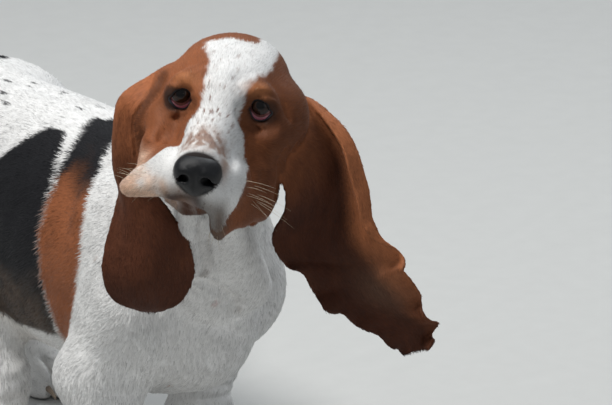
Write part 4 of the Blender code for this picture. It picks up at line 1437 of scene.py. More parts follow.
    def lips(self, p: Array, local: Array, colour: Array) -> Array:
        """Mottled flews, the dark edges of the lips, and the mouth's corner, its brown lining darkened with
        painted shade under the flung lip.

        Args:
            p: the points, in the dog's frame.
            local: the same in the head's frame.
            colour: the colours so far.

        Returns:
            One colour a point.
        """
        x, y, z = local.T
        flung = smoothstep(-36, -50, z) * smoothstep(4, -14, x) * smoothstep(0, -40, y)
        spots = 0.5 + 0.6 * self.noise.smooth(p, 9)
        colour = mix(colour, PEACH, flung * np.clip(spots + 0.2, 0, 1))
        freckles = self.noise.spots(local, 4.6, 0.5, 1.25)
        colour = mix(colour, FRECKLE, flung * freckles * 0.6)
        tip = bell(np.linalg.norm(local - np.array([-66, -66, -68]), axis=1), 17.0)
        colour = mix(colour, LIP_TIP, tip * 0.75)
        hang = smoothstep(-3, 6, x) * smoothstep(34, 24, x)
        hang = hang * smoothstep(-44, -62, z) * smoothstep(-60, -76, y)
        fleck = self.fine.spots(local, 4.0, 0.55, 1.25, (0.8, 0.8, 1.5))
        colour = mix(colour, FLEW_TICK, hang * fleck * 0.85)
        colour = mix(colour, FLEW_GREY, hang * 0.72)
        low = distance_to(local, ((8, -92, -90), (19, -80, -100), (30, -60, -102)))
        colour = mix(colour, FLEW_EDGE, bell(low, 8.0) * 0.75)
        chin = smoothstep(-82, -96, z) * smoothstep(10, -10, x) * (y < -20)
        colour = mix(colour, CHIN, chin * 0.6)
        edge = distance_to(local, ((0, -106, -53), (-13, -103, -54), (-22, -98, -58)))
        colour = mix(colour, LIP, bell(edge, 8.5) * 0.92)
        edge = distance_to(local, ((-22, -98, -59), (-34, -88, -70), (-52, -76, -80)))
        colour = mix(colour, LIP * 1.6, bell(edge, 5.0) * 0.8)
        edge = distance_to(local, ((0, -107, -54), (3, -99, -66), (9, -89, -80), (14, -80, -90)))
        colour = mix(colour, LIP, bell(edge, 5.5) * 0.9)
        # The mouth's corner under the flung right lip: its brown lining, partly painted shade.
        corner = distance_to(local, ((-9, -90, -66), (-8, -80, -78), (-16, -60, -86), (-28, -34, -92)))
        colour = mix(colour, MOUTH_LINING_AND_SHADE, bell(corner, 17.0) * smoothstep(7, 0, x))
        bed = (local - np.array([0, -97.0, FACE.nose_height])) / np.array([21.5, 16.5, 20.5])
        colour = mix(colour, LIP * 0.5, smoothstep(1.05, 0.97, np.linalg.norm(bed, axis=1)))
        return colour

    def round_eyes(self, p: Array, colour: Array) -> Array:
        """Darkens the lids and the tear line, paints shade round each eye and in the brow's crease, and
        paints a highlight on the brow above.

        Args:
            p: the points, in the dog's frame.
            colour: the colours so far.

        Returns:
            One colour a point.
        """
        for side in (-1, 1):
            own = FACE.eye_frame(side)
            q = own.into(p)
            ring = np.sqrt((q[:, 0] / 1.15) ** 2 + (q[:, 2] + 1.5) ** 2)
            front = smoothstep(4, -6, q[:, 1])
            rim = smoothstep(13.5, 10.0, ring) * front
            colour = mix(colour, LID_SKIN, rim * 0.96)
            # Painted shade round the eye socket, wider and darker round the left eye.
            soft = bell(ring - 11, 9.0 if side > 0 else 6.0) * front
            colour = mix(colour, EYE_PAINTED_SHADE, soft * (0.62 if side > 0 else 0.34))
            tear = distance_to(q, ((side * -9, -14, -10), (side * -9, -15, -22), (side * -6, -15, -34)))
            colour = mix(colour, TEAR, bell(tear, 3.4) * 0.6)
            # Painted highlight on the brow ridge above the eye.
            brow = np.exp(-(((q[:, 0] - side * -5) / 15) ** 2 + ((q[:, 2] - 20) / 8) ** 2)) * front
            colour = mix(colour, BROW_HIGHLIGHT, brow * 0.6)
            # Painted shade in the brow's crease.
            knit = distance_to(q, ((side * -4, -14, 16), (side * 3, -14, 20), (side * 8, -10, 21)))
            colour = mix(colour, BROW_FOLD_SHADE, bell(knit, 3.6) * 0.55)
        return colour

    def trunk(self, p: Array, n: Array) -> Array:
        """White with a black saddle, shoulder band, tan patches, ticks and dark pads.

        Args:
            p: the points, in the dog's frame.
            n: the skin's normals there.

        Returns:
            One colour a point.
        """
        x, y, z = p.T
        turn_from_top = np.degrees(np.arctan2(np.abs(x), z - 240))
        wave = 3.0 * self.noise.smooth(p, 24) + 2.2 * self.fine.smooth(p, 8)
        y2 = y + wave + np.where(x > 0, 14 * self.noise.smooth(p + 300, 60), 0)
        t2 = turn_from_top + wave * 0.6
        front = np.interp(t2, *np.array(self.band_front).T)
        rear = np.interp(t2, *np.array(self.band_rear).T)
        low = smoothstep(134, 122, t2)
        patch = np.minimum(y2 - front, rear - y2)
        band = smoothstep(-3, 3, patch) * low
        tan_line = t2 - np.interp(y2, [-150, -118, -96, -71, -60], [30, 37, 33, 26, 46])
        tan_in = smoothstep(-9, 9, tan_line + 5 * self.noise.smooth(p, 12))
        colour = np.broadcast_to(WHITE, (len(p), 3)).copy()
        sad_front = np.interp(t2, *np.array(self.saddle_front).T)
        sad_top = np.interp(y2, *np.array(self.saddle_top).T)
        saddle = np.minimum(np.minimum(y2 - sad_front, (t2 - sad_top) * 1.6), 98 - y2)
        bottom = 136 - 0.10 * np.abs(y2 - 10) - t2
        saddle = smoothstep(-3, 3, np.minimum(saddle, bottom * 1.6))
        grey = smoothstep(88, 112, t2 + 10 * self.noise.smooth(p, 16)) * smoothstep(-86, -50, y2 + 12)
        grey = grey * (0.75 + 0.5 * self.fine.smooth(p, 5))
        dark = mix(np.broadcast_to(BLACK, (len(p), 3)), GREY_BROWN, grey)
        colour = mix(colour, dark, saddle)
        patch_tan = mix(np.broadcast_to(TAN, (len(p), 3)), RUST, 0.22 + 0.25 * self.noise.smooth(p, 18))
        brownish = mix(patch_tan, BAND_EDGE, smoothstep(14, -2, tan_line) * 0.7)
        colour = mix(colour, mix(np.broadcast_to(BLACK, (len(p), 3)), brownish, tan_in), band)
        back = smoothstep(70, 40, turn_from_top) * smoothstep(-4, 8, y) * smoothstep(215, 190, y) * (z > 250)
        flecks = self.noise.spots(p, 13.0, 0.42, 3.0, (0.8, 1.9, 0.9))
        colour = mix(colour, BACK_TICK, flecks * back * (1 - saddle) * 0.9)
        haunch = np.linalg.norm((p - np.array([0, 262, 352])) / np.array([60, 44, 46]), axis=1)
        colour = mix(colour, BLACK, smoothstep(1.06, 0.94, haunch + 0.05 * wave / 3))
        for spot, size in (((58, 196, 262), 46.0), ((-66, 214, 256), 34.0)):
            away = np.linalg.norm(p - np.array(spot), axis=1) + wave * 1.6
            colour = mix(colour, patch_tan, smoothstep(size + 3, size - 3, away) * 0.95)
        legs = smoothstep(215, 170, z)
        small = self.fine.spots(p, 17.0, 0.16, 1.9) * (0.35 + 0.65 * legs)
        plain = (1 - saddle) * (1 - band)
        colour = mix(colour, LEG_TICK, small * plain * 0.75)
        chest = smoothstep(-215, -240, y) * smoothstep(2, 14, x) * smoothstep(330, 300, z)
        colour = mix(colour, CHEST_TICK, self.noise.spots(p, 11, 0.32, 1.7) * chest * 0.9)
        # Painted shade along the chest fold and the dewlap fold.
        for fold, width in ((CHEST_FOLD[1:], 3.2), (DEWLAP_FOLD, 3.4)):
            colour = mix(colour, FOLD_PAINTED_SHADE, bell(distance_to(p, fold), width) * 0.85)
        pink = bell(np.linalg.norm(p - np.array([-31, -283, 257]), axis=1), 3.2)
        colour = mix(colour, PINK, pink * 0.7)
        cream = smoothstep(0.2, -0.7, n[:, 2]) * smoothstep(-40, 20, y)
        colour = mix(colour, CREAM, cream * 0.30 * plain)
        pads = smoothstep(SOLE + 3.5, SOLE + 1.0, z)
        return mix(colour, PAD, pads)

    def ear(self, p: Array, place: Array, flung: bool) -> Array:
        """Tan at the root and deep chestnut below. On the flung ear the rolled edge is lighter, partly its
        own tan and partly painted highlight, and a painted sheen lies across its middle.

        Args:
            p: the points, in the dog's frame.
            place: place across and down the ear.
            flung: true for the ear that is thrown out.

        Returns:
            One colour a point.
        """
        u, v = place.T
        bright = TAN * 1.3
        streak = 0.16 * self.noise.smooth(p * np.array([1, 1, 0.35]), 5) + 0.12 * self.noise.smooth(p, 22)
        base = np.broadcast_to(bright, (len(p), 3))
        if flung:
            colour = mix(base, RUST, smoothstep(0.0, 0.10, v) * 0.9)
            colour = mix(colour, CHESTNUT, smoothstep(0.05, 0.26, v) + streak)
            deep = smoothstep(0.12, 0.30, v) * 0.75 * smoothstep(0.86, 0.70, u) + streak
            colour = mix(colour, MAHOGANY, deep)
            # The rolled rear edge: partly its own lighter tan, partly painted highlight.
            band = smoothstep(0.60, 0.80, u) * smoothstep(0.86, 0.55, v)
            colour = mix(colour, EAR_BAND_AND_HIGHLIGHT, band * (0.9 + streak))
            # Painted sheen across the middle of the flung ear.
            sheen = np.exp(-(((u - 0.62) / 0.2) ** 2 + ((v - 0.66) / 0.11) ** 2))
            return mix(colour, EAR_SHEEN, sheen * 0.55)
        colour = mix(base, RUST, smoothstep(0.16, 0.45, v) + streak * 0.6)
        colour = mix(colour, CHESTNUT, smoothstep(0.34, 0.60, v) + streak)
        return mix(colour, MAHOGANY, smoothstep(0.62, 0.97, v) * 0.75 + streak * 0.7)


MARKINGS = Markings()


@dataclass(frozen=True)
class Hair:
    """Sizes of one part's tufts, in millimetres and degrees."""

    count: int
    length: float
    width: float
    tilt: float = 9.0
    pieces: int = 1


HAIR: Dict[Part, Hair] = {
    Part.HEAD: Hair(90000, 4.8, 0.75, 8, 2),
    Part.EAR_RIGHT: Hair(32000, 5.2, 0.85, 5),
    Part.EAR_LEFT: Hair(35000, 4.6, 0.85, 4),
    Part.NECK: Hair(45000, 6.2, 0.95, 4.5),
    Part.TORSO: Hair(92000, 7.4, 1.12, 4, 2),
    Part.TAIL: Hair(8000, 10.0, 1.1, 9),
    Part.LEG_FRONT_RIGHT: Hair(11500, 6.5, 1.1, 7),
    Part.LEG_FRONT_LEFT: Hair(9500, 6.5, 1.1, 7),
    Part.LEG_HIND_RIGHT: Hair(11500, 7.5, 1.15, 7),
    Part.LEG_HIND_LEFT: Hair(11500, 7.5, 1.15, 7),
}


class Place:
    """Carries the dog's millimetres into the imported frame, in metres."""

    def __init__(self) -> None:
        """Finds the shift from the middle of the right eye."""
        low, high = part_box("eye_right")
        middle = np.array((low + high) / 2) / MM
        self.shift = middle - HEAD.out(FACE.eye_centre(-1))

    def to(self, points: Array) -> Array:
        """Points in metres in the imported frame."""
        return (np.asarray(points, float) + self.shift) * MM


def mesh_from(name: str, points: Array, faces: Array) -> bpy.types.Object:
    """An object from points in metres and equal-sided faces, made fast.

    Args:
        name: the object's name.
        points: one row a vertex.
        faces: one row a face, three or four corners.

    Returns:
        The new object, linked to the scene.
    """
    mesh = bpy.data.meshes.new(name)
    size = faces.shape[1]
    mesh.vertices.add(len(points))
    mesh.vertices.foreach_set("co", np.ascontiguousarray(points, np.float32).ravel())
    mesh.loops.add(faces.size)
    mesh.loops.foreach_set("vertex_index", np.ascontiguousarray(faces, np.int32).ravel())
    mesh.polygons.add(len(faces))
    mesh.polygons.foreach_set("loop_start", np.arange(0, faces.size, size, dtype=np.int32))
    mesh.update(calc_edges=True)
    obj = bpy.data.objects.new(name, mesh)
    bpy.context.scene.collection.objects.link(obj)
    return obj


def paint(obj: bpy.types.Object, colours: Array, name: str = "coat") -> None:
    """Stores a colour for each vertex.

    Args:
        obj: the piece.
        colours: one colour a vertex.
        name: the attribute's name.
    """
    full = np.ones((len(colours), 4), np.float32)
    full[:, :3] = np.clip(colours, 0, 1)
    layer = obj.data.color_attributes.new(name, "FLOAT_COLOR", "POINT")
    layer.data.foreach_set("color", full.ravel())


def unwrap(points: Array, normals: Array) -> Array:
    """Places on a six-cell unwrap by the way the skin faces, each cell one side of the form.

    Args:
        points: in millimetres.
        normals: the skin's normals there.

    Returns:
        One pair from 0 to 1 a point.
    """
    low, high = points.min(0), points.max(0)
    span = (high - low).max() * 1.04
    axis = np.abs(normals).argmax(1)
    side = (normals[np.arange(len(points)), axis] > 0).astype(int)
    cell = axis * 2 + side
    a = np.where(axis == 0, 1, 0)
    b = np.where(axis == 2, 1, 2)
    rows = np.arange(len(points))
    s = (points[rows, a] - low[a]) / span
    t = (points[rows, b] - low[b]) / span
    column, row = cell % 3, cell // 3
    return np.stack([(column + 0.02 + 0.96 * s) / 3, (row + 0.02 + 0.96 * t) / 3], 1)


@dataclass
class Coat:
    """Short tufts over the skin, each a thin closed sliver that lies along it."""

    skin: Skin
    place: Place
    finish: "CoatFinish"
    patch: float = 0.003  # a tuft's size on the unwrap
    sunk: float = 0.3  # how far a tuft's base lies in the skin, in millimetres
    corners: Tuple[Tuple[int, int, int], ...] = ((0, 3, 2), (2, 3, 1), (1, 3, 0), (0, 2, 1))
    tones: Tuple[float, ...] = (0.74, 0.74, 0.98, 1.08)  # darker at the base, lighter at the tip
    noise: Noise = Noise(21)
    fine: Noise = Noise(31)

    def roots(self, part: Part, count: int, rng: np.random.Generator) -> Dict[str, Array]:
        """Spreads roots over one part in proportion to its area.

        Args:
            part: the part.
            count: how many roots.
            rng: the seeded random draws.

        Returns:
            Their points, normals, lie, parts and places on an ear.
        """
        skin = self.skin
        mine = np.flatnonzero((skin.part[skin.triangles] == CODE[part]).sum(1) >= 2)
        weight = skin.areas[mine].copy()
        middle = skin.points[skin.triangles[mine]].mean(1)
        if part is Part.HEAD:
            local = HEAD.into(middle)
            weight *= 1 + 1.3 * smoothstep(40, -50, local[:, 1])
        total = np.cumsum(weight)
        want = (np.arange(count) + rng.random(count)) / count * total[-1]
        chosen = mine[np.minimum(np.searchsorted(total, want), len(mine) - 1)]
        a, b = rng.random(count), rng.random(count)
        flip = a + b > 1
        a, b = np.where(flip, 1 - a, a), np.where(flip, 1 - b, b)
        weights = np.stack([1 - a - b, a, b], 1)[:, :, None]
        corner = skin.triangles[chosen]
        made = {"point": (skin.points[corner] * weights).sum(1)}
        made["normal"] = unit((skin.normals[corner] * weights).sum(1))
        made["lie"] = unit((skin.lie[corner] * weights).sum(1))
        made["part"] = skin.part[corner[:, 0]]
        made["ear"] = skin.ear_place[corner[:, 0]]
        return made

    def haired(self, p: Array, part: Part) -> Array:
        """Which roots to keep: none on eyes, nose leather or the soles.

        Args:
            p: the roots.
            part: the part they are on.

        Returns:
            True for each root to keep.
        """
        keep = p[:, 2] > SOLE + 3.0
        if part is not Part.HEAD:
            return keep
        local = HEAD.into(p)
        for side in (-1, 1):
            q = FACE.eye_frame(side).into(p)
            ring = np.sqrt((q[:, 0] / 1.2) ** 2 + (q[:, 2] + 1.5) ** 2)
            keep &= ~((ring < 10.5) & (q[:, 1] < 0))
            keep &= np.linalg.norm(q, axis=1) > FACE.eye_radius + 1.6
        centre = np.array([0, FACE.nose[1] - FACE.nose_length, FACE.nose_height])
        nose = (local - centre) / np.array(FACE.nose)
        return keep & (np.linalg.norm(nose, axis=1) > 0.98)

    def sizes(self, p: Array, part: Part) -> Array:
        """How large the tufts are, smallest round the nose, eyes and toes.

        Args:
            p: the roots.
            part: the part they are on.

        Returns:
            A factor a root.
        """
        size = np.ones(len(p))
        if part is Part.HEAD:
            local = HEAD.into(p)
            nose = np.linalg.norm(local - np.array([0, -104, -32]), axis=1)
            size *= 0.45 + 0.55 * smoothstep(15, 90, nose)
            for side in (-1, 1):
                away = np.linalg.norm(FACE.eye_frame(side).into(p), axis=1)
                size *= 0.5 + 0.5 * smoothstep(13, 34, away)
        if "leg" in part.value:
            size *= 0.55 + 0.45 * smoothstep(26, 80, p[:, 2])
        if part is Part.TORSO:
            size *= 1 + 0.25 * smoothstep(200, 140, p[:, 2])
        if part is Part.TAIL:
            size *= 1 + 0.2 * smoothstep(380, 460, p[:, 2])
        return size

    def tufts(self, part: Part) -> Tuple[Array, Array, Array, Array]:
        """Makes a part's tufts, four vertices each.

        Args:
            part: the part.

        Returns:
            Their points, normals, colours and places on the unwrap.
        """
        hair = HAIR[part]
        rng = np.random.default_rng(100 + CODE[part])
        r = self.roots(part, hair.count, rng)
        keep = self.haired(r["point"], part)
        r = {k: v[keep] for k, v in r.items()}
        p, n, d = r["point"], r["normal"], r["lie"]
        count = len(p)
        swing = (radians(13) * self.noise.smooth(p, 22) + radians(11) * self.fine.smooth(p, 6)
                 + radians(6) * rng.standard_normal(count))
        side = np.cross(n, d)
        d = d * np.cos(swing)[:, None] + side * np.sin(swing)[:, None]
        side = np.cross(n, d)
        size = self.sizes(p, part)
        length = hair.length * size * (0.72 + 0.5 * rng.random(count))
        width = hair.width * np.sqrt(size) * (0.75 + 0.5 * rng.random(count))
        lift = np.radians(hair.tilt + 5 * self.noise.smooth(p + 50, 9) + 4 * rng.standard_normal(count))
        lift = np.clip(lift, radians(2), radians(24))
        tip = p + d * (length * np.cos(lift))[:, None] + n * (length * np.sin(lift) - 0.25)[:, None]
        tip[:, 2] = np.maximum(tip[:, 2], SOLE + 0.4)
        base = p - n * self.sunk
        left, right = base - side * (width / 2)[:, None], base + side * (width / 2)[:, None]
        ridge = base + n * (0.45 + width * 0.22)[:, None] + d * (length * 0.18)[:, None]
        points = np.stack([left, right, ridge, tip], 1)
        soft = [n - side * 0.45, n + side * 0.45, n, n * 0.95 + d * 0.25]
        normals = unit(np.stack(soft, 1))
        back = p - d * (rng.random(count) * 0.5 * length)[:, None]
        colour = MARKINGS.colours(back, n, r["part"], r["ear"])
        shade = 1 + 0.13 * rng.standard_normal(count) + 0.07 * self.fine.smooth(p, 4)
        colour = colour * np.clip(shade, 0.6, 1.35)[:, None]
        colours = np.clip(colour[:, None, :] * np.array(self.tones)[None, :, None], 0.002, 0.93)
        spot = unwrap(p, n)
        step = self.patch / 2
        square = np.array([[-step, -step], [step, -step], [0, 0], [0, step]])
        return points, normals, colours, spot[:, None, :] + square[None]

    def build(self) -> None:
        """Makes the coat's pieces, each under the limit of faces."""
        for part, hair in HAIR.items():
            points, normals, colours, spots = self.tufts(part)
            for i, chosen in enumerate(self.split(points, part, hair.pieces)):
                own = points[chosen]
                count = len(own)
                faces = (np.arange(count)[:, None, None] * 4 + np.array(self.corners)).reshape(-1, 3)
                name = f"coat_{part.value}" + (f"_{'ab'[i]}" if hair.pieces > 1 else "")
                obj = mesh_from(name, self.place.to(own.reshape(-1, 3)), faces)
                paint(obj, colours[chosen].reshape(-1, 3))
                layer = obj.data.uv_layers.new(name="OFBake")
                places = spots[chosen].reshape(-1, 2)[faces.ravel()]
                layer.uv.foreach_set("vector", places.astype(np.float32).ravel())
                free = obj.data.attributes.new("custom_normal", "FLOAT_VECTOR", "POINT")
                free.data.foreach_set("vector", normals[chosen].astype(np.float32).ravel())
                dress(obj, self.finish, SLOT_OF[part], smooth=False)

    def split(self, points: Array, part: Part, pieces: int) -> List[Array]:
        """Divides a part's tufts into pieces along its length.

        Args:
            points: the tufts' points.
            part: the part they are on.
            pieces: one or two.

        Returns:
            The tufts' numbers in each piece.
        """
        if pieces == 1:
            return [np.arange(len(points))]
        axis = HEAD.into(points[:, 3])[:, 1] if part is Part.HEAD else points[:, 3, 1]
        middle = np.median(axis)
        return [np.flatnonzero(axis < middle), np.flatnonzero(axis >= middle)]


SLOT_OF = {part: "white_coat" for part in Part}
SLOT_OF.update({Part.HEAD: "head_coat", Part.EAR_RIGHT: "ear_coat", Part.EAR_LEFT: "ear_coat",
                Part.TORSO: "saddle_coat"})


def new_group(name: str, inputs: Sequence[Tuple[str, str, float]], outputs: Sequence[Tuple[str, str]]
              ) -> Tuple[bpy.types.NodeTree, bpy.types.Node, bpy.types.Node]:
    """Starts a shader node group.

    Args:
        name: the group's name.
        inputs: each input's label, kind and value.
        outputs: each output's label and kind.

    Returns:
        The group, its input node and its output node.
    """
    group = bpy.data.node_groups.new(name, "ShaderNodeTree")
    for label, kind, value in inputs:
        socket = group.interface.new_socket(label, in_out="INPUT", socket_type=kind)
        if kind == "NodeSocketFloat":
            socket.default_value = value
    for label, kind in outputs:
        group.interface.new_socket(label, in_out="OUTPUT", socket_type=kind)
    return group, group.nodes.new("NodeGroupInput"), group.nodes.new("NodeGroupOutput")


class Grain:
    """The group that gives fine variation of tone and height, shared by coat, nose, lids and claws."""

    group: Optional[bpy.types.NodeTree] = None

    @staticmethod
    def node(group: bpy.types.NodeTree, kind: str, *sources: object, operation: str = "") -> bpy.types.Node:
        """Adds a node to the group.

        Args:
            group: the group.
            kind: the node's kind, without its prefix.
            sources: what feeds its inputs in order: a socket to link, a number, or None.
            operation: what a maths node does.

        Returns:
            The node.
        """
        made = group.nodes.new("ShaderNode" + kind)
        if operation:
            made.operation = operation
        for i, source in enumerate(sources):
            if isinstance(source, bpy.types.NodeSocket):
                group.links.new(source, made.inputs[i])
            elif source is not None:
                made.inputs[i].default_value = source
        return made

    @classmethod
    def tree(cls) -> bpy.types.NodeTree:
        """Builds the group once: two noises in object space, mixed into a colour and a height.

        Returns:
            The group.
        """
        if cls.group:
            return cls.group
        group, start, end = new_group("FineGrain", (
            ("Color", "NodeSocketColor", 0),
            ("Scale", "NodeSocketFloat", 900),
            ("Spread", "NodeSocketFloat", 0.2)),
            (("Color", "NodeSocketColor"), ("Height", "NodeSocketFloat")))
        place = cls.node(group, "TexCoord").outputs["Object"]
        fine = cls.node(group, "TexNoise", place)
        fine.inputs["Detail"].default_value = 4.0
        group.links.new(start.outputs["Scale"], fine.inputs["Scale"])
        wide = cls.node(group, "TexNoise", place)
        wide.inputs["Scale"].default_value = 38.0
        total = cls.node(group, "Math", fine.outputs["Fac"], wide.outputs["Fac"], operation="ADD")
        centred = cls.node(group, "Math", total.outputs[0], 1.0, operation="SUBTRACT")
        spread = start.outputs["Spread"]
        scaled = cls.node(group, "Math", centred.outputs[0], spread, 1.0, operation="MULTIPLY_ADD")
        tinted = cls.node(group, "VectorMath", start.outputs["Color"], operation="SCALE")
        group.links.new(scaled.outputs[0], tinted.inputs["Scale"])
        group.links.new(tinted.outputs[0], end.inputs["Color"])
        group.links.new(fine.outputs["Fac"], end.inputs["Height"])
        cls.group = group
        return group


@dataclass(frozen=True)
class Finish:
    """A surface whose colour comes from its vertices, varied by the grain."""

    name: str
    roughness: float = 0.7
    grain: float = 900.0
    spread: float = 0.25
    bump: float = 0.25
    reach: float = 0.0006
    sheen: float = 0.0
    coat: float = 0.0
    specular: float = 0.5
    attribute: str = "coat"

    def material(self) -> bpy.types.Material:
        """The material, made once.

        Returns:
            The material.
        """
        found = bpy.data.materials.get(self.name)
        if found:
            return found
        made = bpy.data.materials.new(self.name)
        made.use_nodes = True
        nodes, links = made.node_tree.nodes, made.node_tree.links
        shader = next(n for n in nodes if n.type == "BSDF_PRINCIPLED")
        source = nodes.new("ShaderNodeAttribute")
        source.attribute_name = self.attribute
        grain = nodes.new("ShaderNodeGroup")
        grain.node_tree = Grain.tree()
        grain.inputs["Scale"].default_value = self.grain
        grain.inputs["Spread"].default_value = self.spread
        links.new(source.outputs["Color"], grain.inputs["Color"])
        links.new(grain.outputs["Color"], shader.inputs["Base Color"])
        if self.bump:
            bump = nodes.new("ShaderNodeBump")
            bump.inputs["Strength"].default_value = self.bump
            bump.inputs["Distance"].default_value = self.reach
            links.new(grain.outputs["Height"], bump.inputs["Height"])
            links.new(bump.outputs["Normal"], shader.inputs["Normal"])
        shader.inputs["Roughness"].default_value = self.roughness
        shader.inputs["Specular IOR Level"].default_value = self.specular
        shader.inputs["Sheen Weight"].default_value = self.sheen
        shader.inputs["Sheen Roughness"].default_value = 0.4
        shader.inputs["Coat Weight"].default_value = self.coat
        shader.inputs["Coat Roughness"].default_value = 0.08
        return made


@dataclass(frozen=True)
class CoatFinish(Finish):
    """Short fur: soft, faintly glossy hair."""

    name: str = "short_fur"
    roughness: float = 0.6
    bump: float = 0.0
    spread: float = 0.18
    sheen: float = 0.05
    specular: float = 0.22


SKIN_FINISH = Finish("undercoat", roughness=0.85, grain=1300, bump=0.5, spread=0.35, reach=0.0009,
                     specular=0.2)
NOSE_FINISH = Finish("moist_nose", roughness=0.36, grain=1300, bump=0.7, spread=0.3, reach=0.0006,
                     specular=0.32)
LID_FINISH = Finish("lid_leather", roughness=0.34, grain=1600, bump=0.35, spread=0.3, reach=0.0003,
                    coat=0.1, specular=0.25)
HAW_FINISH = Finish("haw_membrane", roughness=0.22, grain=1400, bump=0.2, spread=0.3, reach=0.0003, coat=0.6)
EYE_FINISH = Finish("wet_eye", roughness=0.06, grain=500, bump=0.0, spread=0.12, coat=0.2, specular=0.2)
CLAW_FINISH = Finish("horn", roughness=0.38, grain=700, bump=0.3, spread=0.4, reach=0.0004, coat=0.1)
WHISKER_FINISH = Finish("whisker", roughness=0.4, grain=300, bump=0.0, spread=0.1)
FLOOR_FINISH = Finish("pale_floor", roughness=0.9, grain=40, bump=0.0, spread=0.05)


def dress(obj: bpy.types.Object, finish: Finish, slot: str, *nodes: str, smooth: bool = True) -> None:
    """Gives a piece its finish and says what it rides on and stands for.

    Args:
        obj: the piece.
        finish: its finish.
        slot: the material slot of its solid; not used.
        nodes: the solids that it replaces.
        smooth: shades it smooth.
    """
    obj.data.materials.append(finish.material())
    if smooth:
        obj.data.shade_smooth()
    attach(obj, "root")
    if nodes:
        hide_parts(*nodes)
    log.info("%s: %d faces", obj.name, len(obj.data.polygons))


@dataclass
class Hide:
    """The one skin over head, ears, neck, trunk, tail and legs."""

    skin: Skin
    place: Place

    def build(self) -> None:
        """Makes the skin with its markings."""
        s = self.skin
        obj = mesh_from("skin", self.place.to(s.points), s.quads)
        paint(obj, MARKINGS.colours(s.points, s.normals, s.part, s.ear_place))
        dress(obj, SKIN_FINISH, "white_coat", *[part.value for part in Part])


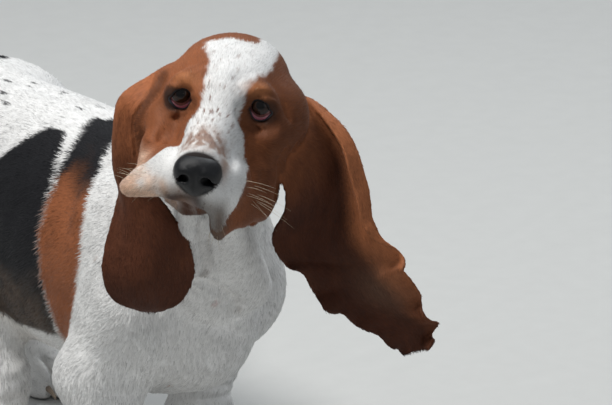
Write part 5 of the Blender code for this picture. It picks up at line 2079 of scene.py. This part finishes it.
@dataclass
class Eye:
    """An eyeball with its iris, the haw below it and the dark rims of the lids."""

    side: int
    skin: Skin
    place: Place
    iris: float = 40.0
    pupil: float = 17.0

    def __post_init__(self) -> None:
        """Finds the eye's frame, its gaze and the edge of the lids."""
        self.own = FACE.eye_frame(self.side)
        self.label = "right" if self.side < 0 else "left"
        _, deep, _ = SHOT.axes()
        toward = self.own.matrix.T @ -deep
        aim = np.array([self.side * -0.22, -1.0, 0.0])
        self.gaze = unit(0.5 * toward + 0.5 * aim + np.array([0, 0, 0.20]))
        self.edge = self.find_edge()

    @staticmethod
    def rays(lean: Array, turns: Array) -> Array:
        """Directions that lean from the eye's axis, each at its turn round it."""
        return np.stack([np.sin(lean) * np.cos(turns), -np.cos(lean), np.sin(lean) * np.sin(turns)], 1)

    def find_edge(self) -> Array:
        """Finds where the lids meet the eyeball.

        Returns:
            Points of the lids' edge, once round.
        """
        radius = FACE.eye_radius + 0.7
        turns = np.linspace(0, 2 * pi, 72, endpoint=False)
        lean = np.radians(np.arange(2, 88, 1.0))
        open_to = np.zeros(len(turns))
        for i, t in enumerate(turns):
            ray = self.rays(lean, np.full(len(lean), t))
            inside = self.skin.body.flesh.sample(self.own.out(ray * radius)) < 0
            open_to[i] = lean[inside.argmax()] if inside.any() else lean[-1]
        kernel = np.array([1, 2, 3, 2, 1]) / 9.0
        padded = np.concatenate([open_to[-4:], open_to, open_to[:4]])
        open_to = np.convolve(padded, kernel, "same")[4:-4]
        self.lean, self.turns = open_to, turns
        return self.rays(open_to, turns) * radius

    def ball(self) -> None:
        """Makes the eyeball, its cornea slightly proud and its rings coloured."""
        rings, sides = 56, 64
        theta = np.linspace(0.001, pi - 0.001, rings)
        degrees = np.degrees(theta)
        radius = FACE.eye_radius + 0.55 * np.exp(-(degrees / 30) ** 4)
        z = self.gaze
        x = unit(np.cross(z, [0, 0, 1.0]))
        y = np.cross(z, x)
        around = np.linspace(0, 2 * pi, sides, endpoint=False)
        points, colours = [], []
        noise = Noise(44)
        for t, d, r in zip(theta, degrees, radius):
            ray = np.outer(np.cos(around), x) * sin(t) + np.outer(np.sin(around), y) * sin(t) + z * cos(t)
            points.append(ray * r)
            spot = np.stack([np.cos(around) * 9, np.sin(around) * 9, np.full(sides, d / 6)], 1)
            spoke = noise.smooth(spot, 1.0)[:, None]
            in_iris = smoothstep(self.pupil - 1, self.pupil + 2, d)
            at_rim = smoothstep(self.iris - 7, self.iris - 1, d) * 0.85
            in_white = smoothstep(self.iris, self.iris + 4, d)
            colour = PUPIL * (1 - in_iris) + IRIS * (1 + 0.55 * spoke) * in_iris
            colour = colour * (1 - at_rim) + PUPIL * at_rim
            colours.append(colour * (1 - in_white) + EYE_WHITE * (1 + 0.15 * spoke) * in_white)
        index = np.arange(rings * sides).reshape(rings, sides)
        obj = self.piece("eyeball_", np.concatenate(points), grid_quads(ringed(index))[:, FLIPPED])
        paint(obj, np.concatenate(colours))
        dress(obj, EYE_FINISH, "eye", "eye_" + self.label)

    def rims(self) -> None:
        """Makes a dark moist tube round the edge of both lids, thicker below."""
        edge = self.edge
        ahead = unit(np.roll(edge, -1, 0) - np.roll(edge, 1, 0))
        out = unit(edge)
        across = np.cross(ahead, out)
        below = smoothstep(0.25, -0.7, np.sin(self.turns))
        thick = 0.8 + 1.0 * below
        sides = 10
        rows = []
        for k in range(sides):
            a = 2 * pi * k / sides
            proud = (thick * 0.75 * sin(a) + 0.35)[:, None]
            rows.append(edge + out * proud + across * (thick * 1.25 * cos(a))[:, None])
        points = np.stack(rows, 1)
        count = len(edge)
        index = np.arange(count * sides).reshape(count, sides)
        quads = grid_quads(ringed(np.concatenate([index, index[:1]])))
        obj = self.piece("lid_rims_", points.reshape(-1, 3), quads)
        # The lower rims are painted a faint bluish shine, a painted reflection.
        base = mix(np.broadcast_to(LID_EDGE, (count, 3)), LID_SHINE, below * 0.7)
        paint(obj, np.repeat(base, sides, axis=0))
        dress(obj, LID_FINISH, "eye")

    def haw(self) -> None:
        """Makes the pink membrane that shows under the iris, over the drooping lower lid."""
        count, rows = 41, 9
        turns = np.linspace(pi * 1.02, pi * 1.98, count)
        lean = np.interp(turns, self.turns, self.lean) + 0.07
        share = np.sin(np.linspace(0, pi, count)) ** 0.7
        points, colours = [], []
        for j in range(rows):
            t = j / (rows - 1)
            own_lean = lean * (1 - 0.5 * share * t)
            radius = FACE.eye_radius + 0.25 + 0.75 * sin(pi * min(1.0, t * 0.9 + 0.1)) - 0.5 * t ** 4
            points.append(self.rays(own_lean, turns) * radius)
            rim = smoothstep(0.8, 1.0, t)
            tone = HAW_PINK * (1.05 - 0.4 * t) * (1 - rim) + HAW_EDGE * rim
            colours.append(np.broadcast_to(tone, (count, 3)))
        quads = grid_quads(np.arange(rows * count).reshape(rows, count))
        obj = self.piece("haw_", np.concatenate(points), quads)
        paint(obj, np.concatenate(colours))
        thick = obj.modifiers.new("thick", "SOLIDIFY")
        thick.thickness = 0.4 * MM
        thick.offset = -1.0
        dress(obj, HAW_FINISH, "eye")

    def piece(self, name: str, points: Array, quads: Array) -> bpy.types.Object:
        """A mesh of this eye from points in its own frame."""
        return mesh_from(name + self.label, self.place.to(self.own.out(points)), quads)

    def build(self) -> None:
        """Makes the ball, the rims and the haw."""
        self.ball()
        self.rims()
        self.haw()


@dataclass
class NoseLeather:
    """The nose with its two nostrils, their slits and the groove between."""

    place: Place
    step: float = 0.75
    # The crease over each nostril, from the nose's middle.
    wing: Tuple[Point, ...] = ((4, -14, 4), (10, -13, 7), (17, -9, 3))

    def build(self) -> None:
        """Makes the nose leather from its own small volume."""
        x, y, z = 0.0, FACE.nose[1] - FACE.nose_length, FACE.nose_height
        centre = HEAD.out((x, y, z))
        f = Flesh([np.arange(c - 38, c + 38, self.step, dtype=np.float32) for c in centre])
        w, d, h = FACE.nose
        f.ball((x, y, z + 3.5), (w - 1, d, h - 6), 4, own=HEAD)
        f.ball((x, y + 0.5, z - 8), (w * 0.66, d - 1.5, h - 7), 9, own=HEAD)
        for side in (-1, 1):
            f.ball((x + side * 10.8, y - 1.5, z), (9.8, 12.5, 12), 6, own=HEAD)
            hole, slit = (x + side * 9.4, y - 15, z - 1), (x + side * 15.6, y - 9, z - 4.5)
            f.ball(hole, (4.2, 10, 4.0), 2.0, (0, side * 24, side * -20), HEAD, True)
            f.ball(slit, (5.6, 8, 1.9), 2.0, (0, side * 34, 0), HEAD, True)
            wing = [(x + side * across, y + ahead, z + up) for across, ahead, up in self.wing]
            f.crease(wing, 2.2, -0.7, HEAD)
        f.crease([(x, y - 16, z + 12), (x, y - 16, z), (x, y - 14, z - 17)], 1.5, 1.8, HEAD)
        points, quads = Skin.largest(*f.surface())
        local = HEAD.into(points)
        quads = quads[:, ::-1] if self.inward(points, quads) else quads
        obj = mesh_from("nose_leather", self.place.to(points), quads)
        # Painted shade: the leather darkens in and round the nostrils.
        hole = np.zeros(len(points))
        for side in (-1, 1):
            away = np.linalg.norm(local - np.array([side * 10, y - 9, z - 1]), axis=1)
            hole = np.maximum(hole, bell(away, 5.0))
        base = NOSE_BLACK * (1 + 0.3 * Noise(9).smooth(local, 4)[:, None])
        paint(obj, mix(base, NOSTRIL_SHADE, hole))
        dress(obj, NOSE_FINISH, "nose_leather", "nose")

    @staticmethod
    def inward(points: Array, quads: Array) -> bool:
        """True where the faces turn inward.

        Args:
            points: the vertices.
            quads: the faces.

        Returns:
            Whether they do.
        """
        a, b, c = (points[quads[:, i]] - points.mean(0) for i in range(3))
        return bool(np.einsum("ij,ij->i", a, np.cross(b - a, c - a)).sum() < 0)


@dataclass
class Claws:
    """The four blunt claws of one paw."""

    leg: Leg
    place: Place
    rings: int = 12
    sides: int = 14

    def build(self) -> None:
        """Makes the paw's claws as one piece."""
        own = PAW.own(self.leg.side, self.leg.foot)
        points, faces, tones = [], [], []
        for x, y, size in PAW.places():
            start = sum(len(p) for p in points)
            rows = []
            for i in range(self.rings):
                t = i / (self.rings - 1)
                r = (4.1 - 2.5 * t ** 1.5) * size * (1.0 if i < self.rings - 1 else 0.35)
                cy, cz = y - 12 - 16.5 * t, 17.5 - 9.0 * t * t
                a = np.linspace(0, 2 * pi, self.sides, endpoint=False)
                cx = self.leg.side * x + r * 0.78 * np.cos(a)
                rows.append(np.stack([cx, np.full(self.sides, cy), cz + r * np.sin(a)], 1))
                tones.append(np.broadcast_to(CLAW_ROOT * (1 - t) + CLAW_TIP * t, (self.sides, 3)))
            points.append(own.out(np.concatenate(rows)))
            index = start + np.arange(self.rings * self.sides).reshape(self.rings, self.sides)
            faces.append(grid_quads(ringed(index)))
            for ring, flip in ((index[0], 1), (index[-1], -1)):
                half = self.sides // 2
                for k in range(half - 1):
                    corner = [ring[k], ring[k + 1], ring[self.sides - 2 - k], ring[self.sides - 1 - k]]
                    faces.append(np.array([corner[::flip]]))
        paw = self.leg.part.value.replace("leg_", "")
        obj = mesh_from("claws_" + paw, self.place.to(np.concatenate(points)), np.concatenate(faces))
        paint(obj, np.concatenate(tones))
        dress(obj, CLAW_FINISH, "claw", *[f"claw_{paw}_{i}" for i in range(1, 5)])


@dataclass
class Whiskers:
    """Stiff pale hairs on the lips, the chin and the brows."""

    skin: Skin
    place: Place
    # Each group's middle and the way it points, in the head's frame, its mean length and its count.
    spots: Tuple[Tuple[Point, Point, float, int], ...] = (
        ((-58, -66, -58), (-1.0, -0.35, 0.10), 15.0, 11),
        ((-44, -70, -52), (-0.9, -0.5, 0.25), 14.0, 7),
        ((36, -66, -58), (1.0, -0.3, -0.1), 24.0, 5),
        ((42, -46, -66), (1.0, -0.1, -0.5), 32.0, 5),
        ((18, -84, -88), (0.4, -0.6, -0.9), 14.0, 5),
        ((-34, 0, 22), (-0.3, -0.8, 0.7), 14.0, 2),
        ((34, 0, 22), (0.3, -0.8, 0.7), 14.0, 2),
    )
    seed: int = 77
    thick: float = 0.22

    def build(self) -> None:
        """Makes all whiskers as one piece, each a thin curved spike."""
        rng = np.random.default_rng(self.seed)
        tree = tree_of(self.skin.points)
        points, faces = [], []
        steps, sides = 9, 4
        for spot, way, length, count in self.spots:
            for _ in range(count):
                start = HEAD.out(np.array(spot, float) + rng.normal(0, 6.0, 3))
                root, index, _ = tree.find(start)
                root, normal = np.array(root), self.skin.normals[index]
                toward = HEAD.direction(unit(np.array(way, float)))
                aim = unit(toward * 0.8 + normal * 0.5 + rng.normal(0, 0.16, 3))
                reach = length * (0.7 + 0.6 * rng.random())
                bend = np.array([0, 0, -1.0]) * reach * (0.08 + 0.16 * rng.random())
                t = np.linspace(0, 1, steps)[:, None]
                line = root - normal * 0.5 + aim * reach * t + bend * t * t
                across = unit(np.cross(aim, [0.1, 0.2, 1.0]))
                other = np.cross(aim, across)
                radius = self.thick * (1 - 0.85 * t)
                turns = np.linspace(0, 2 * pi, sides, endpoint=False)
                ring = [line + (across * cos(a) + other * sin(a)) * radius for a in turns]
                grid = len(points) * steps * sides + np.arange(steps * sides).reshape(steps, sides)
                points.append(np.stack(ring, 1).reshape(-1, 3))
                faces.append(grid_quads(ringed(grid))[:, FLIPPED])
                faces.append(np.array([grid[0], grid[-1][::-1]]))
        obj = mesh_from("whiskers", self.place.to(np.concatenate(points)), np.concatenate(faces))
        paint(obj, np.broadcast_to(WHISKER, (len(obj.data.vertices), 3)))
        dress(obj, WHISKER_FINISH, "head_coat", smooth=False)


@dataclass(frozen=True)
class Lamp:
    """A soft lamp, placed by how far it stands across, before and above the dog."""

    name: str
    across: float
    before: float
    above: float
    size: float
    power: float
    colour: Tuple[float, float, float] = (1.0, 1.0, 1.0)

    def build(self, target: Vector) -> None:
        """Makes the lamp and turns it to the dog.

        Args:
            target: the point that the lamp faces.
        """
        across, deep, _ = SHOT.axes()
        level = unit(np.array([deep[0], deep[1], 0.0]))
        at = Vector(target) + Vector(across * self.across - level * self.before) + Vector((0, 0, self.above))
        data = bpy.data.lights.new(self.name, "AREA")
        data.shape = "DISK"
        data.size, data.energy, data.color = self.size, self.power, self.colour
        obj = bpy.data.objects.new(self.name, data)
        bpy.context.scene.collection.objects.link(obj)
        obj.location = at
        obj.rotation_euler = (target - at).to_track_quat("-Z", "Y").to_euler()


@dataclass
class Studio:
    """Pale floor, soft lamps, plain surroundings and the photo's camera."""

    place: Place
    target: Point = (0.0, -0.2, 0.3)
    half: float = 9.0  # half the floor's width
    floor: Tuple[float, float, float] = (0.56, 0.56, 0.545)
    lamps: Tuple[Lamp, ...] = (
        Lamp("key_lamp", -1.45, 0.62, 3.05, 1.1, 94.0, (1.0, 0.992, 0.972)),
        Lamp("fill_lamp", 2.2, 1.8, 1.0, 2.4, 6.0, (0.92, 0.96, 1.0)),
        Lamp("back_lamp", 0.9, -1.7, 2.6, 1.5, 44.0, (0.93, 0.97, 1.0)),
    )

    def build(self) -> None:
        """Makes the floor, the lamps, the world and the camera."""
        self.make_floor()
        for lamp in self.lamps:
            lamp.build(Vector(self.target))
        world = bpy.data.worlds.new("plain_world")
        world.use_nodes = True
        shade = world.node_tree.nodes["Background"]
        shade.inputs["Color"].default_value = (0.87, 0.935, 1.0, 1)
        shade.inputs["Strength"].default_value = 0.27
        bpy.context.scene.world = world
        bpy.context.scene.view_settings.view_transform = "Standard"
        self.make_camera()

    def make_floor(self) -> None:
        """A wide pale floor with a faint mottle."""
        corners = self.half * np.array([(-1, -1, 0), (1, -1, 0), (1, 1, 0), (-1, 1, 0)])
        obj = mesh_from("floor", corners, np.array([[0, 1, 2, 3]]))
        paint(obj, np.broadcast_to(np.array(self.floor), (4, 3)))
        obj.data.materials.append(FLOOR_FINISH.material())

    def make_camera(self) -> None:
        """The camera at the photo's angle and framing."""
        across, deep, up = SHOT.axes()
        data = bpy.data.cameras.new("photo_camera")
        data.lens, data.sensor_width, data.sensor_fit = SHOT.lens, SHOT.sensor, "HORIZONTAL"
        data.clip_start, data.clip_end = 0.1, 40.0
        obj = bpy.data.objects.new("photo_camera", data)
        bpy.context.scene.collection.objects.link(obj)
        turned = Matrix([list(row) for row in np.array([across, up, -deep]).T]).to_4x4()
        turned.translation = Vector(self.place.to(np.array(SHOT.place)))
        obj.matrix_world = turned
        bpy.context.scene.camera = obj


def main() -> None:
    """Builds the studio, then the dog piece by piece."""
    logging.basicConfig(level=logging.INFO, format="%(message)s")
    place = Place()
    Studio(place).build()
    body = Body()
    body.build()
    skin = Skin(body)
    Hide(skin, place).build()
    for side in (-1, 1):
        Eye(side, skin, place).build()
    NoseLeather(place).build()
    for leg in LEGS:
        Claws(leg, place).build()
    Whiskers(skin, place).build()
    Coat(skin, place, CoatFinish()).build()


if __name__ == "__main__":
    main()
